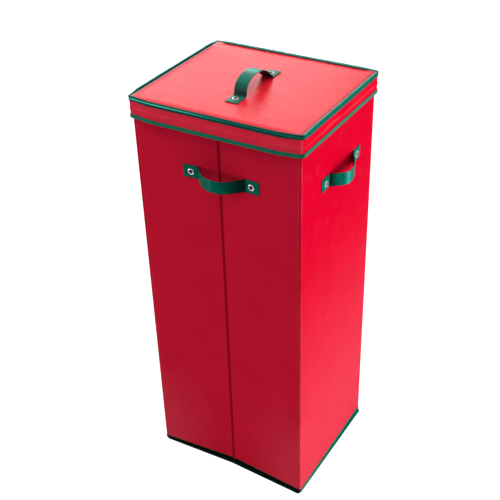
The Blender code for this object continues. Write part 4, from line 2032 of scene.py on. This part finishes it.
    def hem(self, finish: Finishes) -> Object:
        """The tape folded over the skirt's lower edge.

        Args:
            finish: the box's materials.

        Returns:
            The tape.
        """
        ring = self.ring("lid_skirt_hem_tape", self.hem_inner, self.hem_foot, self.hem_foot + self.hem_tape)
        with edit_mode(ring):
            drop_faces(ring, lambda normal: normal.z > LEVEL)
            pick(ring, Kind.EDGE, round_loops(self.hem_foot))
            round_edges(self.tape_round, 3)
            cut_across(ring, Axis.X, 110, 0.2)
            cut_across(ring, Axis.Y, 94, 0.2)
        lay_cloth(ring, tape_lay(self.hem_foot))
        mark(ring, edge=from_corner)
        self.drape(ring)
        thicken(ring, self.hem_thickness)
        smooth(ring, 50.0)
        return show(ring, finish.tape, "lid", "lid_hem_binding")

    def build(self, finish: Finishes) -> None:
        """Model the lid's cloth, skirt, tapes and handle.

        Args:
            finish: the box's materials.
        """
        self.rolled_edge(finish)
        self.hem(finish)
        self.cover(finish)
        out_x, out_y = SIZES.half_width + self.skirt_outer, SIZES.half_depth + self.skirt_outer
        short = SIZES.half_depth + self.skirt_inner - SIZES.gap
        self.skirt(finish, "front", out_x, Place((0, -out_y, 0), (1, 0, 0), (0, 1, 0)))
        self.skirt(finish, "back", out_x, Place((0, out_y, 0), (-1, 0, 0), (0, -1, 0)))
        self.skirt(finish, "left", short, Place((-out_x, 0, 0), (0, -1, 0), (1, 0, 0)))
        self.skirt(finish, "right", short, Place((out_x, 0, 0), (0, 1, 0), (-1, 0, 0)))
        frame = Place((SIZES.lid_aside, SIZES.lid_shift, SIZES.lid_top), (0, 1, 0), UP, (1, 0, 0))
        look = {"bow": 0.0286, "rises": (85, 46), "lean": -0.007, "shade": (1.7, 0.8)}
        Strap("lid_handle", frame, "lid_strap", **look).build(finish, "lid")
        for word, spot in self.eyelet_spots().items():
            place = Place(spot, (1, 0, 0), (0, 1, 0))
            Eyelet(f"lid_handle_ring_{word}", place, SIZES.cloth, "lid", f"lid_eyelet_{word}").build(finish)


def from_corner(at: np.ndarray) -> np.ndarray:
    """How far points are from the nearest corner of the lid, along its side."""
    rim = np.array((SIZES.half_width, SIZES.half_depth)) + SIZES.lid_overhang
    return (rim - np.abs(at[:, :2])).max(axis=1)


def round_loops(height: float) -> Test:
    """A test for the edges of a lid ring's outer and inner loops at a height.

    Args:
        height: the loops' height.

    Returns:
        The test.
    """

    def test(middle: Vector, way: Vector) -> bool:
        """Whether an edge is one of them, and not one that runs across the ring at a corner.

        Args:
            middle: the edge's middle.
            way: the way from its one end to the other.

        Returns:
            True for such an edge.
        """
        if abs(middle.z - height) > NEAR or abs(way.z) > NEAR:
            return False
        at_corner = abs(middle.x) > SIZES.half_width - 0.002 and abs(middle.y) > SIZES.half_depth - 0.002
        diagonal = min(abs(way.x), abs(way.y)) > 0.3 * way.length and way.length > 0.0035
        return not (at_corner and diagonal)

    return test


@dataclass
class Walls:
    """The six walls of the box with their handles."""

    blend_reach: float = 0.030

    def half_place(self, x_side: int, y_side: int) -> Place:
        """The frame of one half wall: from its crease to its corner, inwards, and up.

        Args:
            x_side: -1 on the left and 1 on the right.
            y_side: -1 at the front and 1 at the back.

        Returns:
            The frame.
        """
        across, deep = math.cos(SIZES.rest_fold), math.sin(SIZES.rest_fold)
        origin = (0.0, y_side * (SIZES.half_depth - SIZES.crease_press), 0.0)
        return Place(origin, (x_side * across, y_side * deep, 0.0), (x_side * deep, -y_side * across, 0.0))

    def creased(self, finish: Finishes, word: str, y_side: int) -> None:
        """Model a creased wall: two half walls, the strap across the crease and its eyelets.

        Args:
            finish: the box's materials.
            word: which wall it is.
            y_side: -1 at the front and 1 at the back.
        """
        height = SIZES.front_handle
        for x_side, hand in ((-1, "left"), (1, "right")):
            place = self.half_place(x_side, y_side)
            name = f"{word}_{hand}"
            away = SIZES.eyelet_away - x_side * y_side * SIZES.front_shift
            start, end = SIZES.gap / 2, SIZES.half_wall - SIZES.gap
            Wall(name, name, place, start, end, holes=((away, height),), creased=True).build(finish)
            spot = Vector(place.origin) + Vector(place.x) * away + Vector((0, 0, height))
            out = -Vector(place.y)
            facing = Place(tuple(spot), tuple(Vector(UP).cross(out)), UP, tuple(out))
            Eyelet(f"{name}_handle_ring", facing, SIZES.wall, name, f"{word}_eyelet_{hand}").build(finish)
        origin = (0.0, place.origin[1], height)
        strap = Strap(
            f"{word}_handle",
            Place(origin, (-y_side, 0, 0), (0, y_side, 0)),
            f"{word}_strap",
            bow=0.030,
            rises=(48, 48),
            lean=0.002,
            shift=SIZES.front_shift,
            tilt=SIZES.rest_fold,
            flare=0.001,
            shade=(0.3, 3.8),
            shine=0.46,
            dull=0.0075,
            glow=1.8,
        )
        start, end = ((x, origin[1], height) for x in (-self.blend_reach, self.blend_reach))
        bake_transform(strap.build(finish, None))

    def flat(self, finish: Finishes, word: str, x_side: int, body: str) -> None:
        """Model a side wall with its strap and eyelets.

        Args:
            finish: the box's materials.
            word: which wall it is.
            x_side: -1 on the left and 1 on the right.
            body: the body that it rides on.
        """
        shift, height, away = SIZES.side_shift, SIZES.side_handle, SIZES.eyelet_away
        place = Place((x_side * SIZES.half_width, 0, 0), (0, 1, 0), (-x_side, 0, 0))
        holes = ((shift - away, height), (shift + away, height))
        Wall(word, body, place, -SIZES.half_depth, SIZES.half_depth, holes).build(finish)
        out = x_side * SIZES.half_width
        frame = Place((out, shift, height), (0, x_side, 0), (x_side, 0, 0))
        look = {"bow": 0.0255, "rises": (52, 23), "lean": -0.016, "shine": 0.32, "dull": 0.0015}
        Strap(f"{word}_handle", frame, f"{word}_strap", **look).build(finish, body)
        for (along, _height), name in zip(holes, ("near", "far")):
            facing = Place((out, along, height), (0, x_side, 0), UP, (x_side, 0, 0))
            eyelet = Eyelet(f"{word}_handle_ring_{name}", facing, SIZES.wall, body, f"{word}_eyelet_{name}")
            eyelet.build(finish)

    def build(self, finish: Finishes) -> None:
        """Model all six walls.

        Args:
            finish: the box's materials.
        """
        self.flat(finish, "left_side", -1, "base_and_left_side")
        self.flat(finish, "right_side", 1, "right_side")
        self.creased(finish, "front", -1)
        self.creased(finish, "back", 1)


@dataclass(frozen=True)
class Softbox:
    """A large soft lamp, whose level is its brightness as it is seen."""

    name: str
    place: Point
    aim: Point
    width: float
    height: float
    level: float

    def light(self) -> None:
        """Hang the lamp."""
        lamp = bpy.data.lights.new(self.name, "AREA")
        lamp.shape = "RECTANGLE"
        lamp.size, lamp.size_y = self.width, self.height
        lamp.energy = self.level * math.pi * self.width * self.height
        obj = bpy.data.objects.new(self.name, lamp)
        bpy.context.collection.objects.link(obj)
        obj.visible_camera = False
        obj.location = self.place
        obj.rotation_euler = (Vector(self.aim) - Vector(self.place)).to_track_quat("-Z", "Y").to_euler()


@dataclass(frozen=True)
class Studio:
    """The camera, the lamps, the white surroundings and the floor."""

    camera_place: Point = (0.7491, -1.2704, 1.4350)
    yaw: float = -31.25
    pitch: float = 33.55
    roll: float = -1.81
    lens: float = 66.38
    floor_size: float = 14.0
    floor_drop: float = 0.0002
    floor_lift: float = 0.97
    ambient: float = 0.17
    lamps: tuple[Softbox, ...] = (
        Softbox("back_softbox", (-1.55, 1.80, 1.72), (0, 0, 0.8), 1.8, 1.2, 2.6),
        Softbox("top_softbox", (0.20, -0.20, 2.70), (0, 0, 0.8), 2.8, 2.8, 1.62),
        Softbox("key_softbox", (2.15, 0.40, 0.60), (0, 0, 0.32), 1.2, 1.2, 6.5),
        Softbox("low_softbox", (1.05, -0.55, 0.14), (0.16, -0.10, 0.10), 0.5, 0.3, 3.8),
        Softbox("front_softbox", (-1.75, -1.75, 0.80), (0, 0, 0.42), 0.5, 0.5, 16.2),
    )

    def camera(self) -> None:
        """Set the camera as the photograph was taken."""
        yaw, pitch, roll = (math.radians(angle) for angle in (self.yaw, self.pitch, self.roll))
        forward = Vector((math.sin(yaw) * math.cos(pitch), math.cos(yaw) * math.cos(pitch), -math.sin(pitch)))
        level = Vector((math.cos(yaw), -math.sin(yaw), 0.0))
        upright = level.cross(forward)
        right = level * math.cos(roll) + upright * math.sin(roll)
        up = upright * math.cos(roll) - level * math.sin(roll)
        data = bpy.data.cameras.new("camera")
        data.lens, data.sensor_width, data.clip_start = self.lens, 36.0, 0.01
        camera = bpy.data.objects.new("camera", data)
        bpy.context.collection.objects.link(camera)
        turn = Matrix((right, up, -forward)).transposed().to_4x4()
        camera.matrix_world = Matrix.Translation(self.camera_place) @ turn
        bpy.context.scene.camera = camera

    def surroundings(self) -> None:
        """Light the air evenly, and show it white to the camera and in reflections."""
        world = bpy.data.worlds.new("studio")
        bpy.context.scene.world = world
        world.use_nodes = True
        world.node_tree.nodes.clear()
        nodes = Nodes(world.node_tree)
        camera, glossy, through = (
            nodes.node("LightPath", result=f"Is {ray} Ray") for ray in ("Camera", "Glossy", "Transmission")
        )
        seen = nodes.node("Math", {0: camera, 1: glossy.maths("MAXIMUM", glossy, through)}, operation="MAXIMUM")
        dim, white = (
            nodes.node("Background", {"Color": WHITE, "Strength": level}) for level in (self.ambient, 1.0)
        )
        shown = nodes.node("MixShader", {0: seen, 1: dim, 2: white})
        nodes.feed(world.node_tree.nodes.new("ShaderNodeOutputWorld").inputs["Surface"], shown)

    def floor(self) -> None:
        """A wide pale floor that shows white and keeps the box's shadow."""
        choose()
        bpy.ops.mesh.primitive_plane_add(size=self.floor_size, location=(0, 0, -self.floor_drop))
        floor = own_mesh("studio_floor")
        paint = Paint("pale_floor")
        camera, glossy = (paint.node("LightPath", result=f"Is {ray} Ray") for ray in ("Camera", "Glossy"))
        base = paint.mix(paint.noise(paint.place(), 0.4, 2.0), (164, 164, 164), (168, 168, 168))
        paint.surface(Base_Color=base, Roughness=0.9, Specular_IOR_Level=0.0)
        glow = paint.node("Emission", {"Color": WHITE, "Strength": (camera + glossy) * self.floor_lift})
        both = paint.node("AddShader", {0: Wire(paint, paint.shader.outputs[0]), 1: glow})
        paint.feed(paint.output.inputs["Surface"], both)
        floor.data.materials.append(paint.material)

    def build(self) -> None:
        """Set up everything round the box."""
        self.camera()
        self.surroundings()
        self.floor()
        for lamp in self.lamps:
            lamp.light()


def dress_boards(frame: dict, finish: Finishes) -> None:
    """Give the stiff boards inside the walls and the lid their pressed-board finish.

    Args:
        finish: the box's materials.
    """
    for name, node in frame["nodes"].items():
        if name.endswith("_board") and name != "base_board":
            for slot in node.material_slots:
                slot.material = finish.board
            LOG.info("%s: dressed as pressed board", name)


def main() -> None:
    """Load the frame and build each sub-assembly."""
    logging.basicConfig(level=logging.INFO, format="%(name)s: %(message)s")
    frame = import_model()
    bpy.context.scene.view_settings.view_transform = "Standard"
    Studio().build()
    finish = Finishes.make()
    dress_boards(frame, finish)
    Base().build(finish)
    Walls().build(finish)
    Lid().build(finish)
    bpy.context.view_layer.update()


if __name__ == "__main__":
    main()
